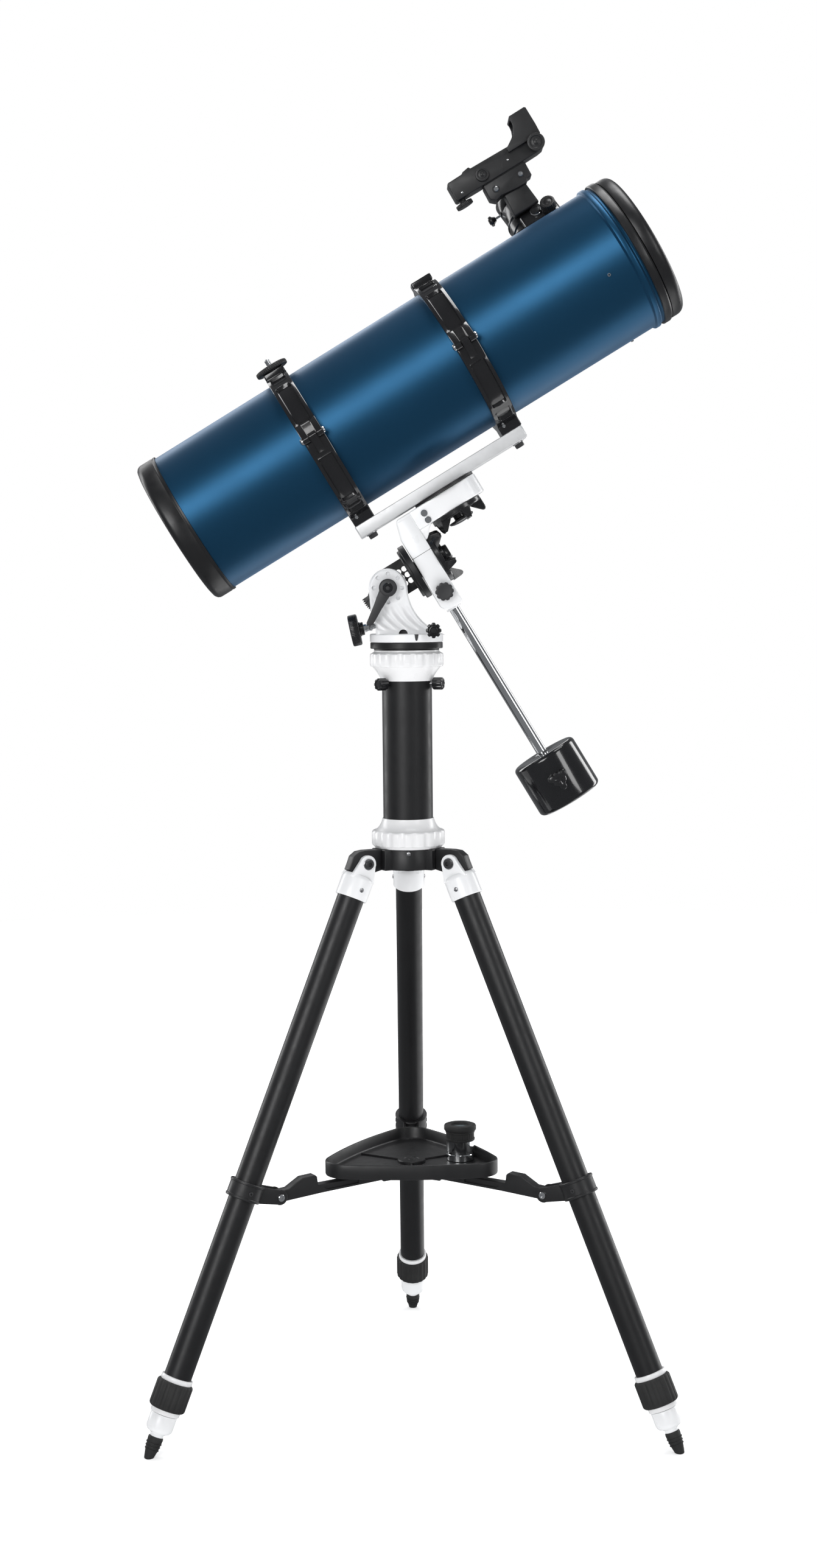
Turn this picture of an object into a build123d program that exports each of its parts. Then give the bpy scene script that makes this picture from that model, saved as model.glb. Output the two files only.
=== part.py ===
from build123d import *
import os
from math import cos, sin, tan, radians

# Newtonian reflector on an alt-latitude mount, pillar and folding tripod.  Millimetres, +Z up.
# The origin is on the floor, on the tripod's centre line; -Y is the side that carries the lock lever.

# ---- driving dimensions: fits
RUN = 0.05  # radial clearance of a shaft in its bearing
GAP = 0.3  # space between faces that move past each other

# ---- driving dimensions: tripod
LEG_AZIMUTHS = (210, 330, 90)
LEG_TILT = 23.5  # of a leg from the vertical
LEG_PIVOT_R = 58.6
LEG_PIVOT_Z = 627.0
LEG_R = 15.2
LEG_WALL = 1.5
LEG_PIN_R = 4.0
EAR_R = 10.0
EAR_T = 6.0
TONGUE_T = 13.0
SHOULDER = 14.0  # from the leg pivot down to the socket's shoulder
SOCKET_R = 18.0
SOCKET_END = 41.0  # from the leg pivot down to the socket's lower edge
EXTENSION_R = 12.6
COLLAR_DOWN = 381.7  # from the leg pivot down to the middle of the spreader collar
COLLAR_H = 19.5
COLLAR_R = 19.6
ARM_PIVOT_R = 172.0
ARM_PIVOT_Z = 265.0
ARM_PIN_R = 2.5
ARM_T = 12.0
ARM_END_R = 34.0
FORK_END_R = 68.0  # how far out the arm's inner fork reaches
BLADE_R = 38.0
HUB_R = 34.0
HUB_LOW = 618.5
HUB_TOP = 642.0

# ---- driving dimensions: tray and eyepiece
TRAY_CORNER_OUT = 82.0
TRAY_CORNER_R = 26.0
TRAY_SIDE = 73.0
TRAY_LOW = 277.0
TRAY_FLOOR = 2.6
TRAY_H = 17.0
TRAY_WALL = 2.4
EYEPIECE_X = 56.0
EYEPIECE_Y = 8.5
BARREL_R = 31.75 / 2

# ---- driving dimensions: pillar
PILLAR_R = 28.0
PILLAR_BORE = 25.0
COLLAR_BORE = PILLAR_R + 0.02
PILLAR_TOP = 864.0
PLATE_R = 40.6
PLATE_TOP = 872.7
GRIP_R = 41.4
GRIP_LOBES = 18
SCREW_AZIMUTHS = (220.5, 340.5, 100.5)
SCREW_Z = 826.5

# ---- driving dimensions: mount, measured from the altitude pivot
PIVOT_X = -20.0
PIVOT_Z = 933.3
POLAR_TILT = 31.0  # of the polar axis from the horizontal
BASE_R = 41.0
BASE_TOP = 882.3
HEAD_R = 21.5
CHEEK_Y = 19.0
PLATE_HALF = 6.0  # half the thickness of the latitude bracket
SECTOR_R = 31.8
TEETH = 17
TOOTH_R = 0.95
AXLE_R = 5.0
DISC_IN = 28.5
DISC_STEP = 31.5
DISC_OUT = 38.5
DISC_R = 32.5
POLAR_SHAFT_R = 10.0
RA_IN = 38.8
RA_OUT = 63.6
RA_LOW = -56.0
HEAD_TOP = 58.5
HEAD_HALF = 27.0
DEC_LOW = 36.0
DEC_END = 147.5
DEC_ALONG = 110.0
WHEEL_R = 30.0
WHEEL_T = 6.2
LOBE_T = 7.5
LOBES = 5
SHAFT_R = 6.0
SHAFT_ALONG = 51.2
SHAFT_LOCK_UP = -36.5
WEIGHT_NEAR = 248.5
WEIGHT_FAR = 310.0
WEIGHT_R = 38.0
KNOB_TILT = 12.0
KNOB_X = -55.0
KNOB_Z = 887.0
BOSS = 16.0  # length of the azimuth lock's boss, past the rim of the base disc
LOCK_X = 30.0
LOCK_Z = 886.0

# ---- driving dimensions: tube, measured along the polar axis and up from it
TUBE_UP = 174.2
TUBE_R = 83.0
TUBE_WALL = 1.2
TUBE_REAR = -145.5
TUBE_FRONT = 414.0
CELL_REAR = -170.0
CAP_FRONT = 440.0
BAR_REAR = 3.3
BAR_FRONT = 219.0
BAR_LOW = 61.9
BAR_TOP = 76.1
BAR_HALF = 21.5
RING_ALONG = (16.7, 207.5)
RING_HALF = 12.5
RING_R = 91.0
SPLIT_UP = 5.0  # of the ring's hinge and split above the tube's axis
HINGE_OUT = 96.0
HINGE_R = 4.6
HINGE_PIN_R = 1.55
HINGE_AT = (-HINGE_OUT, SPLIT_UP)
LUG_AT = (RING_R + 8, SPLIT_UP)
MIRROR_R = 65.0
FOCUSER_ALONG = 351.0
FOCUSER_BACK = 35.0  # degrees that the focuser leans away from the lever's side
FINDER_Y = 40.0
FINDER_HALF = 13.0
FINDER_KNOB = (397.3, 333.7)
HOOD_MIDDLE = 356.0
PINION_OUT = 91.0  # of the pinion from the tube's axis
PINION_ALONG = 23.5  # of the pinion past the focuser's axis

os.makedirs("parts", exist_ok=True)


def save(part, name):
    part.label = name
    export_step(part, f"parts/{name}.step")


def point(origin, *steps):
    """A place reached from origin by steps, each a direction and a length."""
    place = Vector(origin)
    for direction, length in steps:
        place = place + direction * length
    return place


# ---- directions and planes of the mount's head
tilt = radians(POLAR_TILT)
ALONG = Vector(cos(tilt), 0, sin(tilt))
UP = Vector(-sin(tilt), 0, cos(tilt))
BACK = Vector(0, 1, 0)
PIVOT = (PIVOT_X, 0, PIVOT_Z)
lean = radians(FOCUSER_BACK)
OUT = UP * cos(lean) + BACK * sin(lean)  # the focuser's axis
TANGENT = UP * sin(lean) - BACK * cos(lean)  # across the focuser, towards the lever's side
tube_axis = Axis(point(PIVOT, (UP, TUBE_UP)), ALONG)
SIDE = Plane(origin=PIVOT, x_dir=ALONG, z_dir=(0, -1, 0))
FRONT = Plane(origin=(0, 0, 0), x_dir=(1, 0, 0), z_dir=(0, -1, 0))


def side_at(y):
    """The side plane of the head at depth y: x runs along the polar axis, y up from it."""
    return Plane(origin=point(PIVOT, (BACK, y)), x_dir=ALONG, z_dir=(0, -1, 0))


def polar(along, up=0.0):
    """Across the polar axis: x runs back, y up."""
    return Plane(origin=point(PIVOT, (ALONG, along), (UP, up)), x_dir=BACK, z_dir=ALONG)


def across(up, along=DEC_ALONG, y=0.0):
    """Across the declination axis: x runs along the polar axis, y back."""
    return Plane(origin=point(PIVOT, (ALONG, along), (UP, up), (BACK, y)), x_dir=ALONG, z_dir=UP)


def focuser_plane(out):
    """Across the focuser's axis at a distance from the tube's axis."""
    origin = point(PIVOT, (ALONG, FOCUSER_ALONG), (UP, TUBE_UP), (OUT, out))
    return Plane(origin=origin, x_dir=ALONG, z_dir=OUT)


# ---- profiles that repeat
def outline(plane, points):
    with BuildSketch(plane) as shape:
        with BuildLine():
            Polyline(*points, close=True)
        make_face()
    return shape.sketch


def round_plate(plane, radius, hole=0.0):
    with BuildSketch(plane) as shape:
        Circle(radius)
        if hole:
            Circle(hole, mode=Mode.SUBTRACT)
    return shape.sketch


def lobed(plane, radius, count, bite_r, bite_out, hole=0.0, start=0.0):
    """A disc with evenly spaced round bites out of its edge, as on a knob."""
    with BuildSketch(plane) as shape:
        Circle(radius)
        with PolarLocations(bite_out, count, start_angle=start):
            Circle(bite_r, mode=Mode.SUBTRACT)
        if hole:
            Circle(hole, mode=Mode.SUBTRACT)
    return shape.sketch


# ---- planes of one leg
leg_tilt = radians(LEG_TILT)
LEG_LENGTH = LEG_PIVOT_Z / cos(leg_tilt)
FOOT_R = LEG_PIVOT_R + LEG_PIVOT_Z * tan(leg_tilt)


def leg_frame(azimuth):
    a = radians(azimuth)
    radial = Vector(cos(a), sin(a), 0)
    tangent = Vector(-sin(a), cos(a), 0)
    upward = radial * -sin(leg_tilt) + Vector(0, 0, cos(leg_tilt))
    return radial, tangent, upward


def leg_plane(azimuth, height):
    """Across a leg at a height from its tip: x runs round the tripod, y inward."""
    radial, tangent, upward = leg_frame(azimuth)
    return Plane(origin=radial * FOOT_R + upward * height, x_dir=tangent, z_dir=upward)


def leg_side(azimuth, offset=0.0):
    """Along a leg and through the tripod's axis: x runs outward from the axis, y up."""
    radial, tangent, upward = leg_frame(azimuth)
    return Plane(origin=tangent * offset, x_dir=radial, z_dir=tangent * -1)


def leg_axis(azimuth):
    radial, tangent, upward = leg_frame(azimuth)
    return Axis(radial * FOOT_R, upward)


def leg_point(down, out):
    """A point in a leg's side plane, from its pivot: down the leg and square to it, outward."""
    x = LEG_PIVOT_R + down * sin(leg_tilt) + out * cos(leg_tilt)
    y = LEG_PIVOT_Z - down * cos(leg_tilt) + out * sin(leg_tilt)
    return (x, y)


# ---- hub with a tongue for each leg
with BuildPart() as hub:
    with BuildSketch(Plane.XY.offset(HUB_LOW)):
        Circle(HUB_R)
        Circle(12, mode=Mode.SUBTRACT)
    extrude(amount=HUB_TOP - HUB_LOW)
    with BuildSketch(Plane.XY.offset(HUB_TOP)):
        Circle(PILLAR_BORE - 0.1)
        Circle(19, mode=Mode.SUBTRACT)
    extrude(amount=18)
    for azimuth in LEG_AZIMUTHS:
        with BuildSketch(leg_side(azimuth, TONGUE_T / 2)):
            with BuildLine():
                Polyline(
                    (HUB_R - 4, HUB_LOW + 2),
                    (HUB_R - 4, HUB_TOP),
                    (LEG_PIVOT_R, HUB_TOP),
                    (LEG_PIVOT_R + 8, HUB_TOP - 1),
                    (LEG_PIVOT_R + 15, HUB_TOP - 6),
                    leg_point(4, 17),
                    leg_point(SHOULDER - GAP, 17),
                    leg_point(SHOULDER - GAP, 9),
                    leg_point(EAR_R + 2, 0),
                    leg_point(EAR_R, -8),
                    close=True,
                )
            make_face()
            with Locations((LEG_PIVOT_R, LEG_PIVOT_Z)):
                Circle(LEG_PIN_R + RUN, mode=Mode.SUBTRACT)
        extrude(amount=TONGUE_T)
    for azimuth in LEG_AZIMUTHS:
        radial, tangent, upward = leg_frame(azimuth)
        for side in (-1, 1):
            brace = radial * 30 + tangent * (side * 11) + Vector(0, 0, HUB_LOW)
            with BuildSketch(Plane(origin=brace, x_dir=radial, z_dir=(0, 0, 1))):
                Rectangle(18, 9)
            extrude(amount=HUB_TOP - HUB_LOW)
save(hub.part, "hub")

# ---- legs
for number, azimuth in enumerate(LEG_AZIMUTHS, start=1):
    radial, tangent, upward = leg_frame(azimuth)
    socket_low = LEG_LENGTH - SOCKET_END
    shoulder = LEG_LENGTH - SHOULDER
    slot = TONGUE_T + 2 * GAP
    ear_out = slot / 2 + EAR_T

    with BuildPart() as leg_top:
        extrude(round_plate(leg_plane(azimuth, socket_low), SOCKET_R), amount=shoulder - socket_low)
        with BuildSketch(leg_side(azimuth, ear_out)):
            with Locations((LEG_PIVOT_R, LEG_PIVOT_Z)):
                Circle(EAR_R)
            with BuildLine():
                Polyline(
                    leg_point(0, EAR_R),
                    leg_point(0, -EAR_R),
                    leg_point(SHOULDER + 4, -EAR_R - 2),
                    leg_point(SHOULDER + 4, EAR_R),
                    close=True,
                )
            make_face()
        extrude(amount=2 * ear_out)
        with BuildSketch(leg_side(azimuth, slot / 2)):
            with Locations((LEG_PIVOT_R, LEG_PIVOT_Z)):
                Circle(18)
            with BuildLine():
                Polyline(
                    leg_point(0, 30),
                    leg_point(SHOULDER, 30),
                    leg_point(SHOULDER + 1, -30),
                    leg_point(0, -30),
                    close=True,
                )
            make_face()
            with BuildLine():
                Polyline(
                    leg_point(SHOULDER, 30),
                    leg_point(SHOULDER + 12, 30),
                    leg_point(SHOULDER + 12, -30),
                    leg_point(SHOULDER, -30),
                    close=True,
                )
            make_face(mode=Mode.SUBTRACT)
        extrude(amount=slot, mode=Mode.SUBTRACT)
        extrude(
            round_plate(leg_plane(azimuth, socket_low), LEG_R + 0.02),
            amount=25,
            mode=Mode.SUBTRACT,
        )
        with BuildSketch(leg_side(azimuth, ear_out + 1.5)):
            with Locations((LEG_PIVOT_R, LEG_PIVOT_Z)):
                Circle(LEG_PIN_R)
        extrude(amount=2 * ear_out + 3)
    save(leg_top.part, f"leg_top_{number}")

    collar_mid = LEG_LENGTH - COLLAR_DOWN
    with BuildPart() as leg_tube:
        extrude(round_plate(leg_plane(azimuth, 85.3), LEG_R + 2, LEG_R - LEG_WALL), amount=5)
        extrude(
            round_plate(leg_plane(azimuth, 85.3), LEG_R, LEG_R - LEG_WALL),
            amount=socket_low + 24 - 85.3,
        )
        extrude(
            round_plate(leg_plane(azimuth, collar_mid - COLLAR_H / 2), COLLAR_R, LEG_R - 0.5),
            amount=COLLAR_H,
        )
        lug_half = ARM_T / 2 + GAP + 3.5
        for side in (1, -1):
            inner = side * (lug_half if side > 0 else lug_half - 3.5)
            with BuildSketch(leg_side(azimuth, inner)):
                with Locations((ARM_PIVOT_R, ARM_PIVOT_Z)):
                    Circle(8.5)
                with BuildLine():
                    Polyline(
                        (ARM_PIVOT_R, ARM_PIVOT_Z - 8.5),
                        leg_point(COLLAR_DOWN + COLLAR_H / 2, -LEG_R - 1),
                        leg_point(COLLAR_DOWN - COLLAR_H / 2, -LEG_R - 1),
                        (ARM_PIVOT_R, ARM_PIVOT_Z + 8.5),
                        close=True,
                    )
                make_face()
            extrude(amount=3.5)
        with BuildSketch(leg_side(azimuth, lug_half + 1)):
            with Locations((ARM_PIVOT_R, ARM_PIVOT_Z)):
                Circle(ARM_PIN_R)
        extrude(amount=2 * lug_half + 2)
    save(leg_tube.part, f"leg_tube_{number}")

    with BuildPart() as leg_lock:
        extrude(round_plate(leg_plane(azimuth, 49.6), 16.2, EXTENSION_R + GAP), amount=5.4)
        extrude(round_plate(leg_plane(azimuth, 55), 20.2, EXTENSION_R + GAP), amount=30)
        chamfer(leg_lock.edges().filter_by(GeomType.CIRCLE).filter_by(lambda e: e.radius > 20), 2.5)
    save(leg_lock.part, f"leg_lock_{number}")

    with BuildPart() as leg_extension:
        with BuildSketch(leg_side(azimuth)):
            with BuildLine():
                Polyline(
                    leg_point(LEG_LENGTH + 3, 0),
                    leg_point(LEG_LENGTH + 1, 5),
                    leg_point(LEG_LENGTH - 22, 8.3),
                    leg_point(LEG_LENGTH - 24, 7.5),
                    leg_point(LEG_LENGTH - 28, 7.5),
                    leg_point(LEG_LENGTH - 31, 13),
                    leg_point(LEG_LENGTH - 34, 14.75),
                    leg_point(LEG_LENGTH - 49, 14.75),
                    leg_point(LEG_LENGTH - 49, EXTENSION_R),
                    leg_point(60, EXTENSION_R),
                    leg_point(60, 0),
                    close=True,
                )
            make_face()
        revolve(axis=leg_axis(azimuth))
        with BuildSketch(leg_side(azimuth)):
            with BuildLine():
                Polyline(
                    leg_point(LEG_LENGTH - 52, 0),
                    leg_point(LEG_LENGTH - 52, EXTENSION_R - 1.5),
                    leg_point(55, EXTENSION_R - 1.5),
                    leg_point(55, 0),
                    close=True,
                )
            make_face()
        revolve(axis=leg_axis(azimuth), mode=Mode.SUBTRACT)
        split(bisect_by=Plane.XY, keep=Keep.TOP)
    save(leg_extension.part, f"leg_extension_{number}")

    with BuildPart() as spreader_arm:
        with BuildSketch(leg_side(azimuth, ARM_T / 2)):
            with Locations((ARM_PIVOT_R, ARM_PIVOT_Z)):
                Circle(6.5)
            with BuildLine():
                Polyline(
                    (ARM_PIVOT_R, ARM_PIVOT_Z - 6.5),
                    (ARM_PIVOT_R, ARM_PIVOT_Z + 6.5),
                    (160, 272),
                    (143, 282),
                    (127, 283),
                    (124, 271),
                    (ARM_END_R, 274),
                    (ARM_END_R, 265.5),
                    (118, 262),
                    close=True,
                )
            make_face()
            with Locations((ARM_PIVOT_R, ARM_PIVOT_Z)):
                Circle(ARM_PIN_R + RUN, mode=Mode.SUBTRACT)
        extrude(amount=ARM_T)
        with BuildSketch(leg_side(azimuth, 3.2)):
            with BuildLine():
                Polyline((20, 250), (FORK_END_R, 250), (FORK_END_R, 290), (20, 290), close=True)
            make_face()
        extrude(amount=6.4, mode=Mode.SUBTRACT)
    save(spreader_arm.part, f"spreader_arm_{number}")

# ---- centre of the spreader: a boss with a blade in each arm's fork
with BuildPart() as spreader_hub:
    with BuildSketch(Plane.XY.offset(262)):
        Circle(9)
        for azimuth in LEG_AZIMUTHS:
            with Locations(Location((0, 0, 0), (0, 0, azimuth))):
                with Locations((BLADE_R / 2, 0)):
                    Rectangle(BLADE_R, 4.4)
    extrude(amount=14)
save(spreader_hub.part, "spreader_hub")


# ---- tray
def tray_outline(plane, inset):
    """A triangle with round corners towards the legs and bowed sides."""
    corner_r = TRAY_CORNER_R - inset
    ends = []
    for azimuth in (-90, 30, 150):
        before = radians(azimuth - 48)
        after = radians(azimuth + 48)
        middle = radians(azimuth + 60)
        corner = radians(azimuth)
        cx = TRAY_CORNER_OUT * cos(corner)
        cy = TRAY_CORNER_OUT * sin(corner)
        start = (cx + corner_r * cos(before), cy + corner_r * sin(before))
        tip = (cx + corner_r * cos(corner), cy + corner_r * sin(corner))
        end = (cx + corner_r * cos(after), cy + corner_r * sin(after))
        side = ((TRAY_SIDE - inset) * cos(middle), (TRAY_SIDE - inset) * sin(middle))
        ends.append((start, tip, end, side))
    with BuildSketch(plane) as shape:
        with BuildLine():
            for index, (start, tip, end, side) in enumerate(ends):
                following = ends[(index + 1) % 3][0]
                ThreePointArc(start, tip, end)
                ThreePointArc(end, side, following)
        make_face()
    return shape.sketch


tray_x = Vector(cos(radians(60)), sin(radians(60)), 0)
tray_turn = Plane(origin=(0, 0, TRAY_LOW), x_dir=tray_x, z_dir=(0, 0, 1))
tray_inner = tray_turn.offset(TRAY_FLOOR)
with BuildPart() as tray:
    extrude(tray_outline(tray_turn, 0), amount=TRAY_H)
    extrude(tray_outline(tray_inner, TRAY_WALL), amount=TRAY_H, mode=Mode.SUBTRACT)
    extrude(round_plate(Plane.XY.offset(TRAY_LOW + TRAY_FLOOR), 16), amount=3.5)
save(tray.part, "tray")

# ---- eyepiece standing on the tray
eyepiece_low = TRAY_LOW + TRAY_FLOOR + GAP
eyepiece_axis = Axis((EYEPIECE_X, EYEPIECE_Y, 0), (0, 0, 1))
eyepiece_side = Plane(origin=(EYEPIECE_X, EYEPIECE_Y, eyepiece_low), x_dir=(1, 0, 0), z_dir=(0, -1, 0))
with BuildPart() as eyepiece_barrel:
    revolve(outline(eyepiece_side, [(14.2, 0), (BARREL_R, 0), (BARREL_R, 28), (14.2, 28)]), eyepiece_axis)
save(eyepiece_barrel.part, "eyepiece_barrel")
with BuildPart() as eyepiece_body:
    shell = [(3, 23), (14.1, 23), (14.1, 28.1), (15.9, 28.1), (15.9, 22.6), (16.8, 22.6), (16.8, 33.5)]
    shell += [(18.4, 34.5), (18.4, 39.5), (16.5, 41), (8, 41), (3, 36)]
    revolve(outline(eyepiece_side, shell), eyepiece_axis)
save(eyepiece_body.part, "eyepiece_body")

# ---- pillar
with BuildPart() as pillar:
    extrude(round_plate(Plane.XY.offset(HUB_TOP), PILLAR_R, PILLAR_BORE), amount=PILLAR_TOP - HUB_TOP)
    extrude(round_plate(Plane.XY.offset(PILLAR_TOP), 36.5, 20 + RUN), amount=3)
    plate_low = PILLAR_TOP + 2
    extrude(round_plate(Plane.XY.offset(plate_low), PLATE_R, 20 + RUN), amount=PLATE_TOP - plate_low)
    for azimuth in SCREW_AZIMUTHS:
        a = radians(azimuth)
        outward = Vector(cos(a), sin(a), 0)
        turn = Vector(-sin(a), cos(a), 0)
        with BuildSketch(Plane(origin=(0, 0, SCREW_Z), x_dir=turn, z_dir=outward)):
            Circle(2.5 + RUN)
        extrude(amount=PILLAR_R + 2, mode=Mode.SUBTRACT)
save(pillar.part, "pillar")

upright = Axis((0, 0, 0), (0, 0, 1))
with BuildPart() as pillar_collars:
    low_skirt = [(COLLAR_BORE, 642), (38, 642), (40.8, 645.6), (COLLAR_BORE, 645.6)]
    low_flare = [(COLLAR_BORE, 661.4), (38, 661.4), (33.5, 665), (30.3, 670), (28.8, 675)]
    low_flare += [(COLLAR_BORE, 675)]
    revolve(outline(FRONT, low_skirt), upright)
    revolve(outline(FRONT, low_flare), upright)
    extrude(lobed(Plane.XY.offset(645.6), GRIP_R, GRIP_LOBES, 8, 48.2, COLLAR_BORE), amount=15.8)
    high_flare = [(COLLAR_BORE, 829.5), (28.8, 829.5), (30.5, 834), (33.5, 839.5), (38.5, 845.8)]
    high_flare += [(COLLAR_BORE, 845.8)]
    high_neck = [(COLLAR_BORE, 860.4), (38.5, 860.4), (36.5, 864), (COLLAR_BORE, 864)]
    revolve(outline(FRONT, high_flare), upright)
    revolve(outline(FRONT, high_neck), upright)
    extrude(lobed(Plane.XY.offset(845.8), GRIP_R, GRIP_LOBES, 8, 48.2, COLLAR_BORE), amount=14.6)
save(pillar_collars.part, "pillar_collars")

with BuildPart() as pillar_thumbscrews:
    for azimuth in SCREW_AZIMUTHS:
        a = radians(azimuth)
        outward = Vector(cos(a), sin(a), 0)
        turn = Vector(-sin(a), cos(a), 0)
        seat = Plane(origin=outward * (PILLAR_R - 2) + Vector(0, 0, SCREW_Z), x_dir=turn, z_dir=outward)
        extrude(round_plate(seat, 2.5), amount=8)
        extrude(lobed(seat.offset(5), 6.5, 8, 1.4, 7.0), amount=12)
save(pillar_thumbscrews.part, "pillar_thumbscrews")

# ---- mount base: bearing, disc and two cheeks
knob_lean = radians(KNOB_TILT)
KNOB_DIRECTION = Vector(cos(knob_lean), 0, sin(knob_lean))
knob_seat = Plane(origin=(KNOB_X, 0, KNOB_Z), x_dir=(0, 1, 0), z_dir=KNOB_DIRECTION)
head_top = (PIVOT_X, PIVOT_Z + HEAD_R)
head_left = (PIVOT_X - HEAD_R, PIVOT_Z)
head_right = (PIVOT_X + HEAD_R, PIVOT_Z)
with BuildPart() as mount_base:
    extrude(round_plate(Plane.XY.offset(856), 20), amount=20)
    extrude(round_plate(Plane.XY.offset(PLATE_TOP + GAP), BASE_R), amount=BASE_TOP - PLATE_TOP - GAP)
    with BuildSketch(Plane(origin=(0, CHEEK_Y, 0), x_dir=(1, 0, 0), z_dir=(0, -1, 0))):
        with BuildLine():
            Line(head_left, (-39.5, 908))
            Line((-39.5, 908), (-34, 893))
            Line((-34, 893), (-33, 880))
            Line((-33, 880), (37, 880))
            Line((37, 880), (36, 890))
            ThreePointArc((36, 890), (14, 907), head_right)
            ThreePointArc(head_right, head_top, head_left)
        make_face()
    extrude(amount=2 * CHEEK_Y)
    slot_half = PLATE_HALF + GAP
    with BuildSketch(Plane(origin=(0, slot_half, 0), x_dir=(1, 0, 0), z_dir=(0, -1, 0))):
        with BuildLine():
            Polyline((-60, 899), (60, 899), (60, 970), (-60, 970), close=True)
        make_face()
    extrude(amount=2 * slot_half, mode=Mode.SUBTRACT)
    extrude(round_plate(knob_seat.offset(10), 3 + RUN), amount=60, mode=Mode.SUBTRACT)
    extrude(round_plate(knob_seat.offset(20), 6.3), amount=34, mode=Mode.SUBTRACT)
    with BuildSketch(Plane(origin=(PIVOT_X, CHEEK_Y + 1, PIVOT_Z), x_dir=(1, 0, 0), z_dir=(0, -1, 0))):
        Circle(AXLE_R + 0.01)
    extrude(amount=2 * CHEEK_Y + 2, mode=Mode.SUBTRACT)
    with BuildSketch(Plane(origin=(LOCK_X, -20, LOCK_Z), x_dir=(1, 0, 0), z_dir=(0, -1, 0))):
        Circle(6)
    extrude(amount=BOSS)
    with BuildSketch(Plane(origin=(LOCK_X, -10, LOCK_Z), x_dir=(1, 0, 0), z_dir=(0, -1, 0))):
        Circle(2.5 + RUN)
    extrude(amount=BOSS + 12, mode=Mode.SUBTRACT)
save(mount_base.part, "mount_base")

with BuildPart() as latitude_axle:
    with BuildSketch(Plane(origin=(PIVOT_X, CHEEK_Y + 4, PIVOT_Z), x_dir=(1, 0, 0), z_dir=(0, -1, 0))):
        RegularPolygon(8, 6)
    extrude(amount=4)
    with BuildSketch(Plane(origin=(PIVOT_X, CHEEK_Y, PIVOT_Z), x_dir=(1, 0, 0), z_dir=(0, -1, 0))):
        Circle(AXLE_R)
    extrude(amount=2 * CHEEK_Y + 13)
save(latitude_axle.part, "latitude_axle")

with BuildPart() as lock_lever:
    lever_seat = Plane(origin=(PIVOT_X, -CHEEK_Y - GAP, PIVOT_Z), x_dir=(1, 0, 0), z_dir=(0, -1, 0))
    extrude(round_plate(lever_seat, 10), amount=14)
    with BuildSketch(lever_seat.offset(5)):
        with BuildLine():
            Polyline(
                (-9, -4.3),
                (-24.1, -39.2),
                (-22.6, -41.2),
                (-18, -41.8),
                (-16.2, -39.6),
                (1.3, -9),
                close=True,
            )
        make_face()
    extrude(amount=7)
    with BuildSketch(lever_seat):
        Circle(AXLE_R + RUN)
    extrude(amount=14, mode=Mode.SUBTRACT)
save(lock_lever.part, "lock_lever")

with BuildPart() as altitude_knob:
    extrude(lobed(knob_seat.offset(-8), 17.6, 40, 0.6, 17.85), amount=10.5)
    extrude(round_plate(knob_seat.offset(2.5), 7.5), amount=5)
    extrude(round_plate(knob_seat.offset(7.5), 3), amount=46)
    extrude(round_plate(knob_seat.offset(21.5), 5.9), amount=31)
save(altitude_knob.part, "altitude_knob")

with BuildPart() as azimuth_knob:
    small_seat = Plane(origin=(LOCK_X, -20, LOCK_Z), x_dir=(1, 0, 0), z_dir=(0, -1, 0))
    extrude(round_plate(small_seat.offset(-6), 2.5), amount=BOSS + 10)
    extrude(lobed(small_seat.offset(BOSS + GAP), 8.5, 8, 1.9, 9.2), amount=10)
save(azimuth_knob.part, "azimuth_knob")

# ---- latitude bracket with sector gear, bearing disc and polar shaft
with BuildPart() as latitude_bracket:
    with BuildSketch(side_at(PLATE_HALF)):
        Circle(HEAD_R - 0.5)
        with BuildLine():
            Polyline(
                (0, HEAD_R - 0.5),
                (DISC_IN + 1, HEAD_R - 0.5),
                (DISC_IN + 1, -17),
                (14, -17),
                (9, -26),
                (4, -26),
                (0, 0),
                close=True,
            )
        make_face()
        first, middle, last = [Vector(SECTOR_R, 0).rotate(Axis.Z, turn) for turn in (172, 220, 268)]
        with BuildLine():
            Line((0, 0), first)
            ThreePointArc(first, middle, last)
            Line(last, (0, 0))
        make_face()
        with PolarLocations(SECTOR_R + 0.4, TEETH, start_angle=174, angular_range=92, endpoint=True):
            Circle(TOOTH_R, mode=Mode.SUBTRACT)
        with Locations((-21.5, -12.5)):
            Circle(2.6, mode=Mode.SUBTRACT)
        with Locations(*[(x, y) for x in (19.1, 26.3) for y in (8.9, 1.6, -5.9)]):
            Circle(3.1, mode=Mode.SUBTRACT)
        Circle(AXLE_R + RUN, mode=Mode.SUBTRACT)
    extrude(amount=2 * PLATE_HALF)
    extrude(round_plate(polar(DISC_IN), DISC_R - 3.5), amount=DISC_STEP - DISC_IN)
    extrude(round_plate(polar(DISC_STEP), DISC_R), amount=DISC_OUT - DISC_STEP)
    extrude(round_plate(polar(DISC_OUT), POLAR_SHAFT_R), amount=RA_OUT + 6 - DISC_OUT)
save(latitude_bracket.part, "latitude_bracket")

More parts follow.
